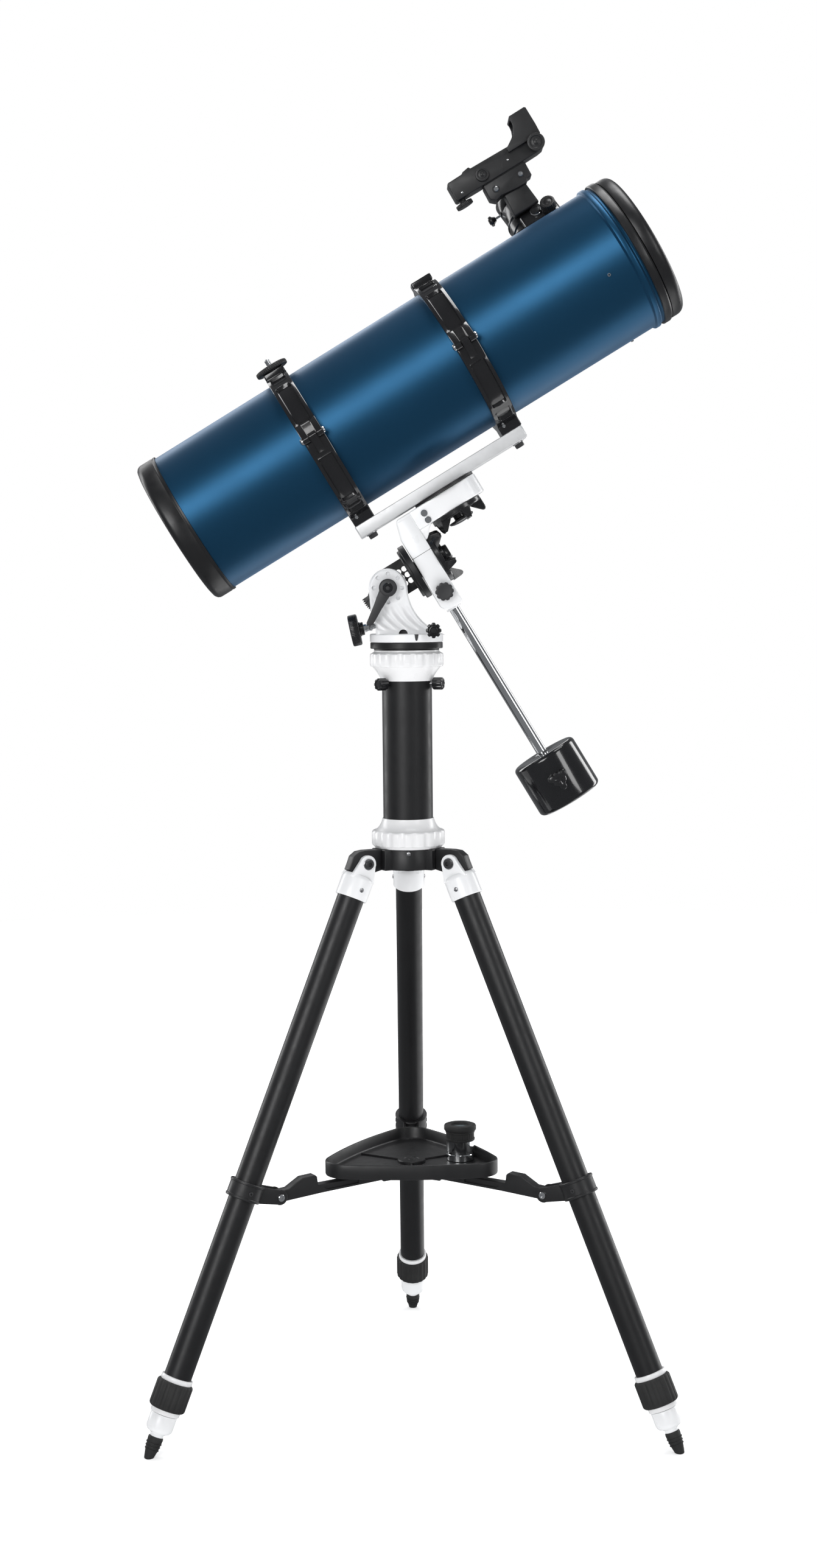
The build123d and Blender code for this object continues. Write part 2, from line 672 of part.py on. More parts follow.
# ---- right ascension plate, counterweight shaft and its lock knob
with BuildPart() as ra_plate:
    with BuildSketch(side_at(HEAD_HALF)):
        with BuildLine():
            Polyline(
                (RA_IN + 1, 37),
                (46, HEAD_TOP),
                (RA_OUT, HEAD_TOP),
                (RA_OUT, RA_LOW),
                (RA_IN + 8, RA_LOW),
                (RA_IN, RA_LOW + 9),
                close=True,
            )
        make_face()
    extrude(amount=2 * HEAD_HALF)
    extrude(round_plate(polar(RA_IN - 1), POLAR_SHAFT_R + RUN), amount=30, mode=Mode.SUBTRACT)
    extrude(
        round_plate(Plane(origin=point(PIVOT, (ALONG, SHAFT_ALONG), (UP, RA_LOW - 1)), z_dir=UP), SHAFT_R),
        amount=25,
        mode=Mode.SUBTRACT,
    )
    lock_mouth = point(PIVOT, (ALONG, SHAFT_ALONG), (UP, SHAFT_LOCK_UP), (BACK, -HEAD_HALF - 1))
    extrude(round_plate(Plane(origin=lock_mouth, z_dir=BACK), 2.5 + RUN), amount=22, mode=Mode.SUBTRACT)
save(ra_plate.part, "ra_plate")

with BuildPart() as counterweight_shaft:
    shaft_seat = Plane(origin=point(PIVOT, (ALONG, SHAFT_ALONG), (UP, RA_LOW + 24)), z_dir=UP * -1)
    extrude(round_plate(shaft_seat, SHAFT_R), amount=WEIGHT_FAR + RA_LOW + 24 - 2)
save(counterweight_shaft.part, "counterweight_shaft")

with BuildPart() as shaft_lock_knob:
    lock_seat = Plane(
        origin=point(PIVOT, (ALONG, SHAFT_ALONG), (UP, SHAFT_LOCK_UP), (BACK, -HEAD_HALF)),
        x_dir=ALONG,
        z_dir=(0, -1, 0),
    )
    extrude(round_plate(lock_seat.offset(-18), 2.5), amount=20)
    extrude(lobed(lock_seat.offset(GAP), 10.1, 10, 1.7, 11.0), amount=11)
save(shaft_lock_knob.part, "shaft_lock_knob")

# ---- declination plate
with BuildPart() as dec_plate:
    with BuildSketch(across(DEC_LOW)):
        with Locations(((RA_OUT - DEC_END) / 2 + DEC_END - DEC_ALONG, 0)):
            Rectangle(DEC_END - RA_OUT, 2 * HEAD_HALF)
    extrude(amount=HEAD_TOP - DEC_LOW)
    corners = dec_plate.edges().filter_by(Axis((0, 0, 0), UP)).sort_by(Axis((0, 0, 0), ALONG))[-2:]
    fillet(corners, 20)
    extrude(round_plate(across(DEC_LOW - 1), POLAR_SHAFT_R + RUN), amount=30, mode=Mode.SUBTRACT)
    for up in (40.5, 49):
        with BuildSketch(side_at(-HEAD_HALF)):
            with Locations((77, up)):
                Circle(3.4)
        extrude(amount=2.2)
save(dec_plate.part, "dec_plate")


def clutch_wheel(seat):
    """A flat disc with block-shaped grips round its edge and a round hub cap over the shaft's end."""
    extrude(round_plate(seat, WHEEL_R, POLAR_SHAFT_R + RUN), amount=WHEEL_T)
    with BuildSketch(seat.offset(WHEEL_T)) as grips:
        Circle(WHEEL_R - 0.5)
        Circle(WHEEL_R - 10, mode=Mode.SUBTRACT)
        with PolarLocations(WHEEL_R - 2, LOBES, start_angle=30):
            Circle(8.2, mode=Mode.SUBTRACT)
    extrude(grips.sketch, amount=LOBE_T)
    extrude(round_plate(seat.offset(WHEEL_T), 15), amount=9)


with BuildPart() as ra_wheel:
    clutch_wheel(polar(RA_OUT + GAP))
save(ra_wheel.part, "ra_wheel")

with BuildPart() as dec_wheel:
    clutch_wheel(
        Plane(origin=point(PIVOT, (ALONG, DEC_ALONG), (UP, DEC_LOW - GAP)), x_dir=ALONG, z_dir=UP * -1)
    )
save(dec_wheel.part, "dec_wheel")

# ---- saddle, bar and bar bolts
with BuildPart() as dec_saddle:
    extrude(round_plate(across(HEAD_TOP + GAP), 37), amount=BAR_LOW - HEAD_TOP - GAP)
    extrude(round_plate(across(DEC_LOW - 6), POLAR_SHAFT_R), amount=HEAD_TOP + GAP - DEC_LOW + 6)
save(dec_saddle.part, "dec_saddle")

with BuildPart() as mounting_bar:
    with BuildSketch(across(BAR_LOW, (BAR_REAR + BAR_FRONT) / 2)):
        RectangleRounded(BAR_FRONT - BAR_REAR, 2 * BAR_HALF, 2)
    extrude(amount=BAR_TOP - BAR_LOW)
    for along in RING_ALONG:
        extrude(round_plate(across(BAR_LOW - 1, along), 3), amount=20, mode=Mode.SUBTRACT)
save(mounting_bar.part, "mounting_bar")

with BuildPart() as bar_bolts:
    for along in RING_ALONG:
        extrude(round_plate(across(BAR_LOW - 6, along), 4), amount=6)
        extrude(round_plate(across(BAR_LOW - 6, along), 3), amount=24)
save(bar_bolts.part, "bar_bolts")


# ---- tube rings
def ring_section(along):
    """Sketch plane at a ring's rear face: x runs back, y up, from the tube's axis."""
    return polar(along - RING_HALF, TUBE_UP)


with BuildPart() as ring_lower:
    for along in RING_ALONG:
        with BuildSketch(ring_section(along)):
            Circle(RING_R)
            with Locations((0, -TUBE_UP + BAR_TOP + 10)):
                Rectangle(2 * BAR_HALF, 20)
            with Locations((LUG_AT[0] - 3, LUG_AT[1] - 8)):
                Rectangle(20, 16)
            with Locations((0, SPLIT_UP + 60)):
                Rectangle(260, 120, mode=Mode.SUBTRACT)
            Circle(TUBE_R + RUN, mode=Mode.SUBTRACT)
        extrude(amount=2 * RING_HALF)
        with BuildSketch(polar(along - 4.5, TUBE_UP)):
            with Locations(HINGE_AT):
                Circle(HINGE_R)
            with BuildLine():
                Polyline(
                    (-HINGE_OUT - HINGE_R + 0.3, SPLIT_UP),
                    (-RING_R + 4, -14),
                    (-RING_R + 5, SPLIT_UP),
                    close=True,
                )
            make_face()
            with Locations(HINGE_AT):
                Circle(HINGE_PIN_R + RUN, mode=Mode.SUBTRACT)
        extrude(amount=9)
        for start in (along - RING_HALF - 3.6, along + 4.9):
            with BuildSketch(polar(start, TUBE_UP)):
                with Locations(HINGE_AT):
                    Circle(HINGE_R + 0.6)
            extrude(amount=RING_HALF - 1.3, mode=Mode.SUBTRACT)
        lug_seat = Plane(
            origin=point(PIVOT, (ALONG, along), (UP, TUBE_UP + SPLIT_UP - 20), (BACK, LUG_AT[0])), z_dir=UP
        )
        extrude(round_plate(lug_seat, 3 + GAP), amount=22, mode=Mode.SUBTRACT)
        extrude(
            round_plate(across(BAR_TOP - 1, along), 3),
            amount=20,
            mode=Mode.SUBTRACT,
        )
save(ring_lower.part, "ring_lower")

for number, along in enumerate(RING_ALONG, start=1):
    with BuildPart() as ring_upper:
        with BuildSketch(ring_section(along)):
            Circle(RING_R)
            with Locations((0, RING_R - 4)):
                Rectangle(26, 19)
            with Locations((LUG_AT[0] - 3, LUG_AT[1] + 8)):
                Rectangle(20, 16)
            with Locations((0, SPLIT_UP + GAP - 60)):
                Rectangle(260, 120, mode=Mode.SUBTRACT)
            Circle(TUBE_R + GAP, mode=Mode.SUBTRACT)
        extrude(amount=2 * RING_HALF)
        for start in (along - RING_HALF, along + 5):
            with BuildSketch(polar(start, TUBE_UP)):
                with Locations(HINGE_AT):
                    Circle(HINGE_R)
                with BuildLine():
                    Polyline(
                        (-HINGE_OUT - HINGE_R + 0.3, SPLIT_UP + GAP),
                        (-RING_R + 4, 24),
                        (-RING_R + 6, SPLIT_UP + GAP),
                        close=True,
                    )
                make_face()
            extrude(amount=RING_HALF - 5)
        with BuildSketch(polar(along - 4.9, TUBE_UP)):
            with Locations(HINGE_AT):
                Circle(HINGE_R + 0.6)
        extrude(amount=9.8, mode=Mode.SUBTRACT)
        with BuildSketch(polar(along - RING_HALF - 3.2, TUBE_UP)):
            with Locations(HINGE_AT):
                Circle(HINGE_PIN_R)
        extrude(amount=2 * RING_HALF + 6.4)
        for start in (along - RING_HALF - 3.2, along + RING_HALF):
            with BuildSketch(polar(start, TUBE_UP)):
                with Locations(HINGE_AT):
                    Circle(3.4)
            extrude(amount=3.2)
        screw_hole = Plane(
            origin=point(PIVOT, (ALONG, along), (UP, TUBE_UP + SPLIT_UP), (BACK, LUG_AT[0])), z_dir=UP
        )
        extrude(round_plate(screw_hole, 3 + RUN), amount=22, mode=Mode.SUBTRACT)
    save(ring_upper.part, f"ring_upper_{number}")

    with BuildPart() as ring_clamp:
        clamp_seat = Plane(
            origin=point(PIVOT, (ALONG, along), (UP, TUBE_UP + SPLIT_UP), (BACK, LUG_AT[0])),
            x_dir=ALONG,
            z_dir=UP,
        )
        extrude(round_plate(clamp_seat.offset(-10), 3), amount=28)
        extrude(lobed(clamp_seat.offset(16 + 2 * GAP), 10, 6, 3.2, 12), amount=11)
    save(ring_clamp.part, f"ring_clamp_{number}")

with BuildPart() as piggyback_stud:
    stud_base = TUBE_UP + RING_R + 5.5
    stud_along = RING_ALONG[0]
    extrude(lobed(across(stud_base, stud_along), 19, 30, 1.0, 19.6), amount=6)
    extrude(round_plate(across(stud_base + 6, stud_along), 3.175), amount=9)
save(piggyback_stud.part, "piggyback_stud")

# ---- main tube with its end fittings and optics
with BuildPart() as main_tube:
    wall_in = TUBE_UP + TUBE_R - TUBE_WALL
    wall_out = TUBE_UP + TUBE_R
    wall = [(TUBE_REAR, wall_in), (TUBE_REAR, wall_out), (402, wall_out), (404.5, wall_out + 2.6)]
    wall += [(410, wall_out + 2.6), (412, wall_out), (TUBE_FRONT, wall_out), (TUBE_FRONT, wall_in)]
    revolve(outline(SIDE, wall), tube_axis)
    extrude(round_plate(focuser_plane(40), 24), amount=60, mode=Mode.SUBTRACT)
save(main_tube.part, "main_tube")


def tube_ring(points):
    """Turns a profile about the tube's axis: points are (along, distance from that axis)."""
    revolve(outline(SIDE, [(along, TUBE_UP + out) for along, out in points]), tube_axis)


with BuildPart() as rear_cell:
    cell = [(CELL_REAR, 58), (CELL_REAR, 80), (CELL_REAR + 1.5, 83), (CELL_REAR + 5, 85)]
    spigot = TUBE_R - TUBE_WALL - RUN
    cell += [(TUBE_REAR, 85), (TUBE_REAR, spigot), (TUBE_REAR + 8, spigot)]
    cell += [(TUBE_REAR + 8, 79), (CELL_REAR + 5, 79), (CELL_REAR + 5, 58)]
    tube_ring(cell)
    tube_ring([(-160, 0), (-160, 79.5), (-154, 79.5), (-154, 0)])
    for turn in (90, 210, 330):
        a = radians(turn)
        with BuildSketch(polar(-168, TUBE_UP)):
            with Locations((48 * cos(a), 48 * sin(a))):
                Circle(7)
        extrude(amount=8)
        with BuildSketch(polar(-154, TUBE_UP)):
            with Locations((60 * cos(a), 60 * sin(a))):
                Circle(4)
        extrude(amount=14)
save(rear_cell.part, "rear_cell")

with BuildPart() as primary_mirror:
    tube_ring([(-140, 0), (-140, MIRROR_R), (-124, MIRROR_R), (-125.2, 32), (-125.6, 0)])
save(primary_mirror.part, "primary_mirror")

with BuildPart() as front_ring:
    rim = [(TUBE_FRONT, 79), (TUBE_FRONT, 86), (TUBE_FRONT + 8, 86), (TUBE_FRONT + 10, 84)]
    tube_ring(rim + [(TUBE_FRONT + 10, 79)])
    inner = TUBE_R - TUBE_WALL - RUN
    tube_ring([(TUBE_FRONT - 12, 79), (TUBE_FRONT - 12, inner), (TUBE_FRONT, inner), (TUBE_FRONT, 79)])
save(front_ring.part, "front_ring")

with BuildPart() as dust_cap:
    lip = TUBE_FRONT + 10 + GAP
    skirt = [(TUBE_FRONT - 6, 76), (TUBE_FRONT - 6, 78.5), (lip, 78.5), (lip, 84.5), (CAP_FRONT - 6, 84.5)]
    skirt += [(CAP_FRONT - 1.5, 82.5), (CAP_FRONT, 78), (CAP_FRONT, 0), (CAP_FRONT - 2.5, 0)]
    skirt += [(CAP_FRONT - 2.5, 76)]
    tube_ring(skirt)
save(dust_cap.part, "dust_cap")

with BuildPart() as spider:
    with BuildSketch(polar(FOCUSER_ALONG + 8, TUBE_UP)):
        Circle(12)
    extrude(amount=24)
    for turn in (0, 90, 180, 270):
        a = radians(turn - FOCUSER_BACK + 45)
        outward = BACK * cos(a) + UP * sin(a)
        spoke = Plane(
            origin=point(PIVOT, (ALONG, FOCUSER_ALONG + 20), (UP, TUBE_UP), (outward, 46.4)),
            x_dir=outward,
            z_dir=ALONG,
        )
        with BuildSketch(spoke):
            Rectangle(70.6, 0.9)
        extrude(amount=10)
save(spider.part, "spider")

with BuildPart() as secondary_mirror:
    with BuildSketch(polar(FOCUSER_ALONG - 18, TUBE_UP)):
        Circle(17)
    extrude(amount=25.9)
    cut_origin = point(PIVOT, (ALONG, FOCUSER_ALONG - 2), (UP, TUBE_UP))
    split(bisect_by=Plane(origin=cut_origin, z_dir=ALONG - OUT), keep=Keep.TOP)
save(secondary_mirror.part, "secondary_mirror")

# ---- focuser
focuser_base = point(PIVOT, (ALONG, FOCUSER_ALONG), (UP, TUBE_UP))
with BuildPart() as focuser_body:
    with BuildSketch(focuser_plane(70)):
        with Locations((4, 0)):
            RectangleRounded(62, 60, 8)
    extrude(amount=36)
    extrude(round_plate(focuser_plane(106), 24), amount=14)
    tube_space = [(300, TUBE_UP), (300, wall_out + RUN), (400, wall_out + RUN), (400, TUBE_UP)]
    revolve(outline(SIDE, tube_space), tube_axis, mode=Mode.SUBTRACT)
    extrude(round_plate(focuser_plane(60), 18 + RUN), amount=70, mode=Mode.SUBTRACT)
    pinion_bore = Plane(
        origin=point(focuser_base, (ALONG, PINION_ALONG), (OUT, PINION_OUT), (TANGENT, -40)),
        x_dir=ALONG,
        z_dir=TANGENT,
    )
    extrude(round_plate(pinion_bore, 3 + RUN), amount=80, mode=Mode.SUBTRACT)
    tension_cap = Plane(
        origin=point(focuser_base, (ALONG, 9), (OUT, 97), (TANGENT, 29)),
        x_dir=ALONG,
        z_dir=TANGENT,
    )
    extrude(round_plate(tension_cap, 6.8), amount=4)
save(focuser_body.part, "focuser_body")

with BuildPart() as focuser_drawtube:
    extrude(round_plate(focuser_plane(66), 18, 16.4), amount=70)
    extrude(round_plate(focuser_plane(120 + GAP), 21, 15.95), amount=37)
    extrude(round_plate(focuser_plane(100), 15.95), amount=60, mode=Mode.SUBTRACT)
    holder_screw = Plane(
        origin=point(focuser_base, (ALONG, -16.5), (OUT, 146)),
        x_dir=OUT,
        z_dir=ALONG * -1,
    )
    extrude(round_plate(holder_screw, 1.5), amount=12)
    extrude(lobed(holder_screw.offset(10), 6, 6, 1.6, 6.6), amount=7)
save(focuser_drawtube.part, "focuser_drawtube")

with BuildPart() as focuser_knobs:
    extrude(round_plate(pinion_bore.offset(4), 3), amount=72)
    extrude(lobed(pinion_bore.offset(70 + GAP), 8.5, 18, 0.9, 8.9), amount=11)
    extrude(lobed(pinion_bore.offset(-1 - GAP), 8.5, 18, 0.9, 8.9), amount=11)
save(focuser_knobs.part, "focuser_knobs")

# ---- finder
with BuildPart() as finder_bracket:
    with BuildSketch(side_at(FINDER_Y + FINDER_HALF)):
        with BuildLine():
            Polyline((323, 307), (377, 306), (377, 324.6), (323, 324.6), close=True)
        make_face()
    extrude(amount=2 * FINDER_HALF)
    with BuildSketch(side_at(FINDER_Y + 9)):
        with BuildLine():
            Polyline((334, 277), (372, 277), (366, 307.5), (336, 307.5), close=True)
        make_face()
    extrude(amount=18)
    extrude(round_plate(focuser_plane(104), 24.5), amount=60, mode=Mode.SUBTRACT)
    with BuildSketch(focuser_plane(70)):
        with Locations((4, 0)):
            RectangleRounded(62, 60, 8)
    extrude(amount=36, mode=Mode.SUBTRACT)
    extrude(round_plate(tension_cap, 7.3), amount=5, mode=Mode.SUBTRACT)
    for along in (334.8, 366.4):
        with BuildSketch(side_at(FINDER_Y - FINDER_HALF)):
            with Locations((along, 314.7)):
                Circle(2.6)
        extrude(amount=1.2)
save(finder_bracket.part, "finder_bracket")

with BuildPart() as finder_body:
    with BuildSketch(side_at(FINDER_Y + FINDER_HALF)):
        with BuildLine():
            Polyline(
                (291, 325),
                (399, 325),
                (406, 331),
                (407, 345),
                (366, 345),
                (362, 348),
                (291, 348),
                close=True,
            )
        make_face()
    extrude(amount=2 * FINDER_HALF)
    with BuildSketch(polar(384, 0)):
        with Locations((FINDER_Y, HOOD_MIDDLE)):
            RectangleRounded(38, 36, 10)
    extrude(amount=23)
    with BuildSketch(polar(383, 0)):
        with Locations((FINDER_Y, HOOD_MIDDLE + 0.5)):
            RectangleRounded(31, 29, 7)
    extrude(amount=26, mode=Mode.SUBTRACT)
    with BuildSketch(side_at(FINDER_Y + 5)):
        with Locations((318, 349)):
            Rectangle(10, 5)
    extrude(amount=10)
    with BuildSketch(across(317.5, 299, FINDER_Y)):
        Circle(2)
    extrude(amount=9)
    extrude(round_plate(across(317, 297, FINDER_Y), 10), amount=5)
    with BuildSketch(side_at(FINDER_Y - FINDER_HALF)):
        with Locations(FINDER_KNOB):
            Circle(6)
        with Locations(FINDER_KNOB):
            Circle(2 + RUN, mode=Mode.SUBTRACT)
    extrude(amount=6)
save(finder_body.part, "finder_body")

with BuildPart() as finder_lens:
    with BuildSketch(polar(392, 0)):
        with Locations((FINDER_Y, HOOD_MIDDLE + 0.5)):
            RectangleRounded(31, 29, 7)
    extrude(amount=2)
save(finder_lens.part, "finder_lens")

with BuildPart() as finder_knob:
    with BuildSketch(side_at(FINDER_Y - FINDER_HALF - 6 - GAP)):
        with Locations(FINDER_KNOB):
            Circle(10)
    extrude(amount=5)
save(finder_knob.part, "finder_knob")

# ---- counterweight and its lock screw
weight_mid = (WEIGHT_NEAR + WEIGHT_FAR) / 2
with BuildPart() as counterweight:
    weight_seat = Plane(origin=point(PIVOT, (ALONG, SHAFT_ALONG), (UP, -WEIGHT_FAR)), x_dir=ALONG, z_dir=UP)
    extrude(round_plate(weight_seat, WEIGHT_R), amount=WEIGHT_FAR - WEIGHT_NEAR)
    fillet(counterweight.edges().filter_by(GeomType.CIRCLE), 5)
    extrude(round_plate(weight_seat.offset(-1), SHAFT_R + RUN), amount=WEIGHT_FAR, mode=Mode.SUBTRACT)
    weight_screw_seat = Plane(
        origin=point(PIVOT, (ALONG, SHAFT_ALONG), (UP, -weight_mid), (BACK, -WEIGHT_R)),
        x_dir=ALONG,
        z_dir=(0, -1, 0),
    )
    extrude(round_plate(weight_screw_seat.offset(-30), 4 + RUN), amount=40, mode=Mode.SUBTRACT)
save(counterweight.part, "counterweight")

with BuildPart() as weight_screw:
    extrude(round_plate(weight_screw_seat.offset(-28), 4), amount=29)
    with BuildSketch(weight_screw_seat.offset(GAP)):
        Circle(8)
        with PolarLocations(9, 3, start_angle=30):
            Rectangle(16, 9)
    extrude(amount=9)
save(weight_screw.part, "weight_screw")
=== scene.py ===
from math import cos, sin, tan, pi, radians, hypot, atan2
import bpy
import bmesh
from mathutils import Vector, Matrix


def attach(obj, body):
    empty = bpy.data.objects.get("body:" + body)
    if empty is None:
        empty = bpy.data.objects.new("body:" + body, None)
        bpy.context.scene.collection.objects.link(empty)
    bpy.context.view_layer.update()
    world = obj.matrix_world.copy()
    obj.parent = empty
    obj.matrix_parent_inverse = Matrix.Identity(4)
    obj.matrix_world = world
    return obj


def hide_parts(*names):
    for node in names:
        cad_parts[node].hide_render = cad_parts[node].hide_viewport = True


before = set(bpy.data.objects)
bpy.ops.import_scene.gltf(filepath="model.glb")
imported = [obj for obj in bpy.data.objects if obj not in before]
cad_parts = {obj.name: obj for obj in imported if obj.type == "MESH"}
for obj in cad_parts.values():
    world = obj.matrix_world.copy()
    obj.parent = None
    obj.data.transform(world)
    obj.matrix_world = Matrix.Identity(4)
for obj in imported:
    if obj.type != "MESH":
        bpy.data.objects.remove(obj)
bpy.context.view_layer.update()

# Lengths below are millimetres in the CAD's frame; meshes are made in metres.
MM = 0.001
POLAR_TILT = radians(31.0)
ALONG = Vector((cos(POLAR_TILT), 0, sin(POLAR_TILT)))
UP = Vector((-sin(POLAR_TILT), 0, cos(POLAR_TILT)))
BACK = Vector((0, 1, 0))
FRONT = Vector((0, -1, 0))
RIGHT = Vector((1, 0, 0))
TOP = Vector((0, 0, 1))
PIVOT_X, PIVOT_Z = -20.0, 933.3
PIVOT = Vector((PIVOT_X, 0, PIVOT_Z))
LEAN = radians(35.0)
OUT = UP * cos(LEAN) + BACK * sin(LEAN)
TANGENT = UP * sin(LEAN) - BACK * cos(LEAN)
TUBE_UP = 174.2
TUBE_R = 83.0
FOCUSER_ALONG = 351
SHAFT_ALONG = 51.2
SADDLE_ALONG = 110


def head(along, up, back=0.0):
    """A point of the mount's head, from the altitude pivot."""
    return PIVOT + ALONG * along + UP * up + BACK * back


# ---------------------------------------------------------------- materials
def feed(tree, shader, inputs):
    """Sets a node's inputs: a value as it is, another node's output by a link."""
    for key, value in inputs.items():
        if isinstance(value, bpy.types.NodeSocket):
            tree.links.new(value, shader.inputs[key])
        else:
            shader.inputs[key].default_value = value


def node(tree, kind, inputs, **settings):
    made = tree.nodes.new("ShaderNode" + kind)
    for key, value in settings.items():
        setattr(made, key, value)
    feed(tree, made, inputs)
    return made


def node_of(tree, kind):
    return next(n for n in tree.nodes if n.type == kind)


def material(name, color, rough, metallic=0.0, coat=0.0, coat_rough=0.1, vary=0.06, vary_scale=60.0,
             rough_vary=0.06, bump=0.02, bump_scale=900.0, bump_depth=0.0001, dust=0.0):
    """A painted, moulded or machined surface with fine grain, faint colour change and handling marks."""
    mat = bpy.data.materials.new(name)
    mat.use_nodes = True
    tree = mat.node_tree
    place = node(tree, "TexCoord", {}).outputs["Object"]
    broad = node(tree, "TexNoise", {"Scale": vary_scale, "Detail": 6.0, "Vector": place})
    dark = [max(0.0, c * (1 - 2 * vary)) for c in color]
    light = [min(1.0, c * (1 + 2 * vary) + dust) for c in color]
    tint = node(tree, "Mix", {}, data_type="RGBA")
    feed(tree, tint, {6: (*dark, 1), 7: (*light, 1), 0: broad.outputs["Fac"]})
    marks = node(tree, "TexNoise", {"Scale": vary_scale * 3.1, "Detail": 8.0, "Vector": place})
    spread = node(tree, "MapRange", {"From Min": 0.3, "From Max": 0.7, "To Min": max(0.02,
        rough - rough_vary), "To Max": min(1.0, rough + rough_vary), "Value": marks.outputs["Fac"]})
    grain = node(tree, "TexNoise", {"Scale": bump_scale, "Detail": 3.0, "Vector": place})
    relief = node(tree, "Bump", {"Strength": bump, "Distance": bump_depth, "Height": grain.outputs["Fac"]})
    feed(tree, tree.nodes["Principled BSDF"], {"Metallic": metallic, "IOR": 1.5, "Coat Weight": coat,
        "Coat Roughness": coat_rough, "Base Color": tint.outputs[2], "Roughness": spread.outputs["Result"],
        "Normal": relief.outputs["Normal"]})
    return mat


def brushed(mat, stretch, strength):
    """Stretches a material's grain and marks along one axis, as drawn or turned metal shows."""
    tree = mat.node_tree
    place = node_of(tree, "TEX_COORD").outputs["Object"]
    mapping = node(tree, "Mapping", {"Scale": stretch, "Vector": place})
    for noise in [n for n in tree.nodes if n.type == "TEX_NOISE"]:
        feed(tree, noise, {"Vector": mapping.outputs["Vector"]})
    feed(tree, node_of(tree, "BUMP"), {"Strength": strength})
    return mat


WHITE = material("white_enamel", (0.86, 0.865, 0.875), 0.32, coat=0.25, coat_rough=0.18, vary=0.015,
    vary_scale=14, bump=0.12, bump_scale=420, bump_depth=0.0002)
WHITE_PLASTIC = material("white_plastic", (0.80, 0.80, 0.806), 0.3, coat=0.2, coat_rough=0.15, vary=0.012,
    vary_scale=18, bump=0.06, bump_scale=700)
POWDER = material("black_powder_coat", (0.009, 0.009, 0.010), 0.42, vary=0.1, vary_scale=30, bump=0.35,
    bump_scale=1300, bump_depth=0.00012, rough_vary=0.05)
GLOSS_BLACK = material("gloss_black_enamel", (0.006, 0.006, 0.007), 0.16, coat=0.6, coat_rough=0.06, vary=0.1,
    vary_scale=25, bump=0.03, bump_scale=160, bump_depth=0.0003, rough_vary=0.04)
PLASTIC = material("black_plastic", (0.014, 0.014, 0.015), 0.42, vary=0.12, vary_scale=35, bump=0.3,
    bump_scale=1600, bump_depth=0.00008)
GLOSS_PLASTIC = material("gloss_black_plastic", (0.009, 0.009, 0.010), 0.24, coat=0.3, coat_rough=0.12,
    vary=0.1, vary_scale=30, bump=0.08, bump_scale=500)
SATIN_PLASTIC = material("satin_black_plastic", (0.008, 0.008, 0.009), 0.36, vary=0.1, vary_scale=30,
    bump=0.35, bump_scale=1100, bump_depth=0.0001)
GREY_PLASTIC = material("dark_grey_plastic", (0.028, 0.028, 0.03), 0.45, vary=0.08, vary_scale=40, bump=0.3,
    bump_scale=1500, bump_depth=0.0001)
RUBBER = material("rubber", (0.016, 0.016, 0.016), 0.68, vary=0.15, vary_scale=45, bump=0.45, bump_scale=1200,
    bump_depth=0.00015, dust=0.006)
CHROME = material("chrome", (0.78, 0.79, 0.80), 0.09, metallic=1.0, vary=0.02, vary_scale=20, bump=0.03,
    bump_scale=260, rough_vary=0.03)
STEEL = material("machined_steel", (0.52, 0.52, 0.53), 0.3, metallic=1.0, vary=0.05, vary_scale=50, bump=0.15,
    bump_scale=900, rough_vary=0.08)
SILVER = material("bead_blasted_aluminium", (0.74, 0.745, 0.75), 0.45, metallic=0.55, vary=0.035,
    vary_scale=110, bump=0.5, bump_scale=1500, bump_depth=0.00016, rough_vary=0.06)
ANODISED = brushed(material("anodised_aluminium", (0.58, 0.585, 0.6), 0.33, metallic=1.0, vary=0.03,
    vary_scale=25, bump=0.1, bump_scale=700), (1, 1, 0.08), 0.12)
FELT = material("felt", (0.02, 0.02, 0.022), 0.95, vary=0.25, vary_scale=400, bump=0.8, bump_scale=2600,
    bump_depth=0.0004)
INNER_BLACK = material("flat_black_inside", (0.01, 0.01, 0.01), 0.85, vary=0.2, vary_scale=80, bump=0.3,
    bump_scale=900)
MIRROR = material("aluminised_mirror", (0.9, 0.91, 0.92), 0.025, metallic=1.0, vary=0.01, vary_scale=12,
    bump=0.005, bump_scale=60, rough_vary=0.01)
CERAMIC_GLASS = material("mirror_glass_edge", (0.42, 0.5, 0.48), 0.35, vary=0.06, vary_scale=30, bump=0.1)


def blue_enamel():
    """Metallic blue paint with a fine flake; its pale bands come from the lights alone."""
    mat = material("blue_metallic_enamel", (0.012, 0.077, 0.162), 0.4, metallic=0.85, coat=0.08,
        coat_rough=0.35, vary=0.03, vary_scale=5, bump=0.012, bump_scale=60, bump_depth=0.0002,
        rough_vary=0.02)
    tree = mat.node_tree
    shader = tree.nodes["Principled BSDF"]
    tint = shader.inputs["Base Color"].links[0].from_socket
    flake = node(tree, "TexVoronoi", {"Scale": 2600.0, "Vector": node_of(tree,
        "TEX_COORD").outputs["Object"]})
    soft = node(tree, "MapRange", {"To Min": 0.82, "To Max": 1.1, "Value": flake.outputs["Distance"]})
    blend = node(tree, "Mix", {}, data_type="RGBA", blend_type="MULTIPLY")
    feed(tree, blend, {0: 0.35, 6: tint, 7: soft.outputs["Result"]})
    feed(tree, shader, {"Base Color": blend.outputs[2], "Sheen Weight": 0.3, "Sheen Roughness": 0.35,
        "Sheen Tint": (0.3, 0.58, 1.0, 1)})
    return mat


BLUE = blue_enamel()


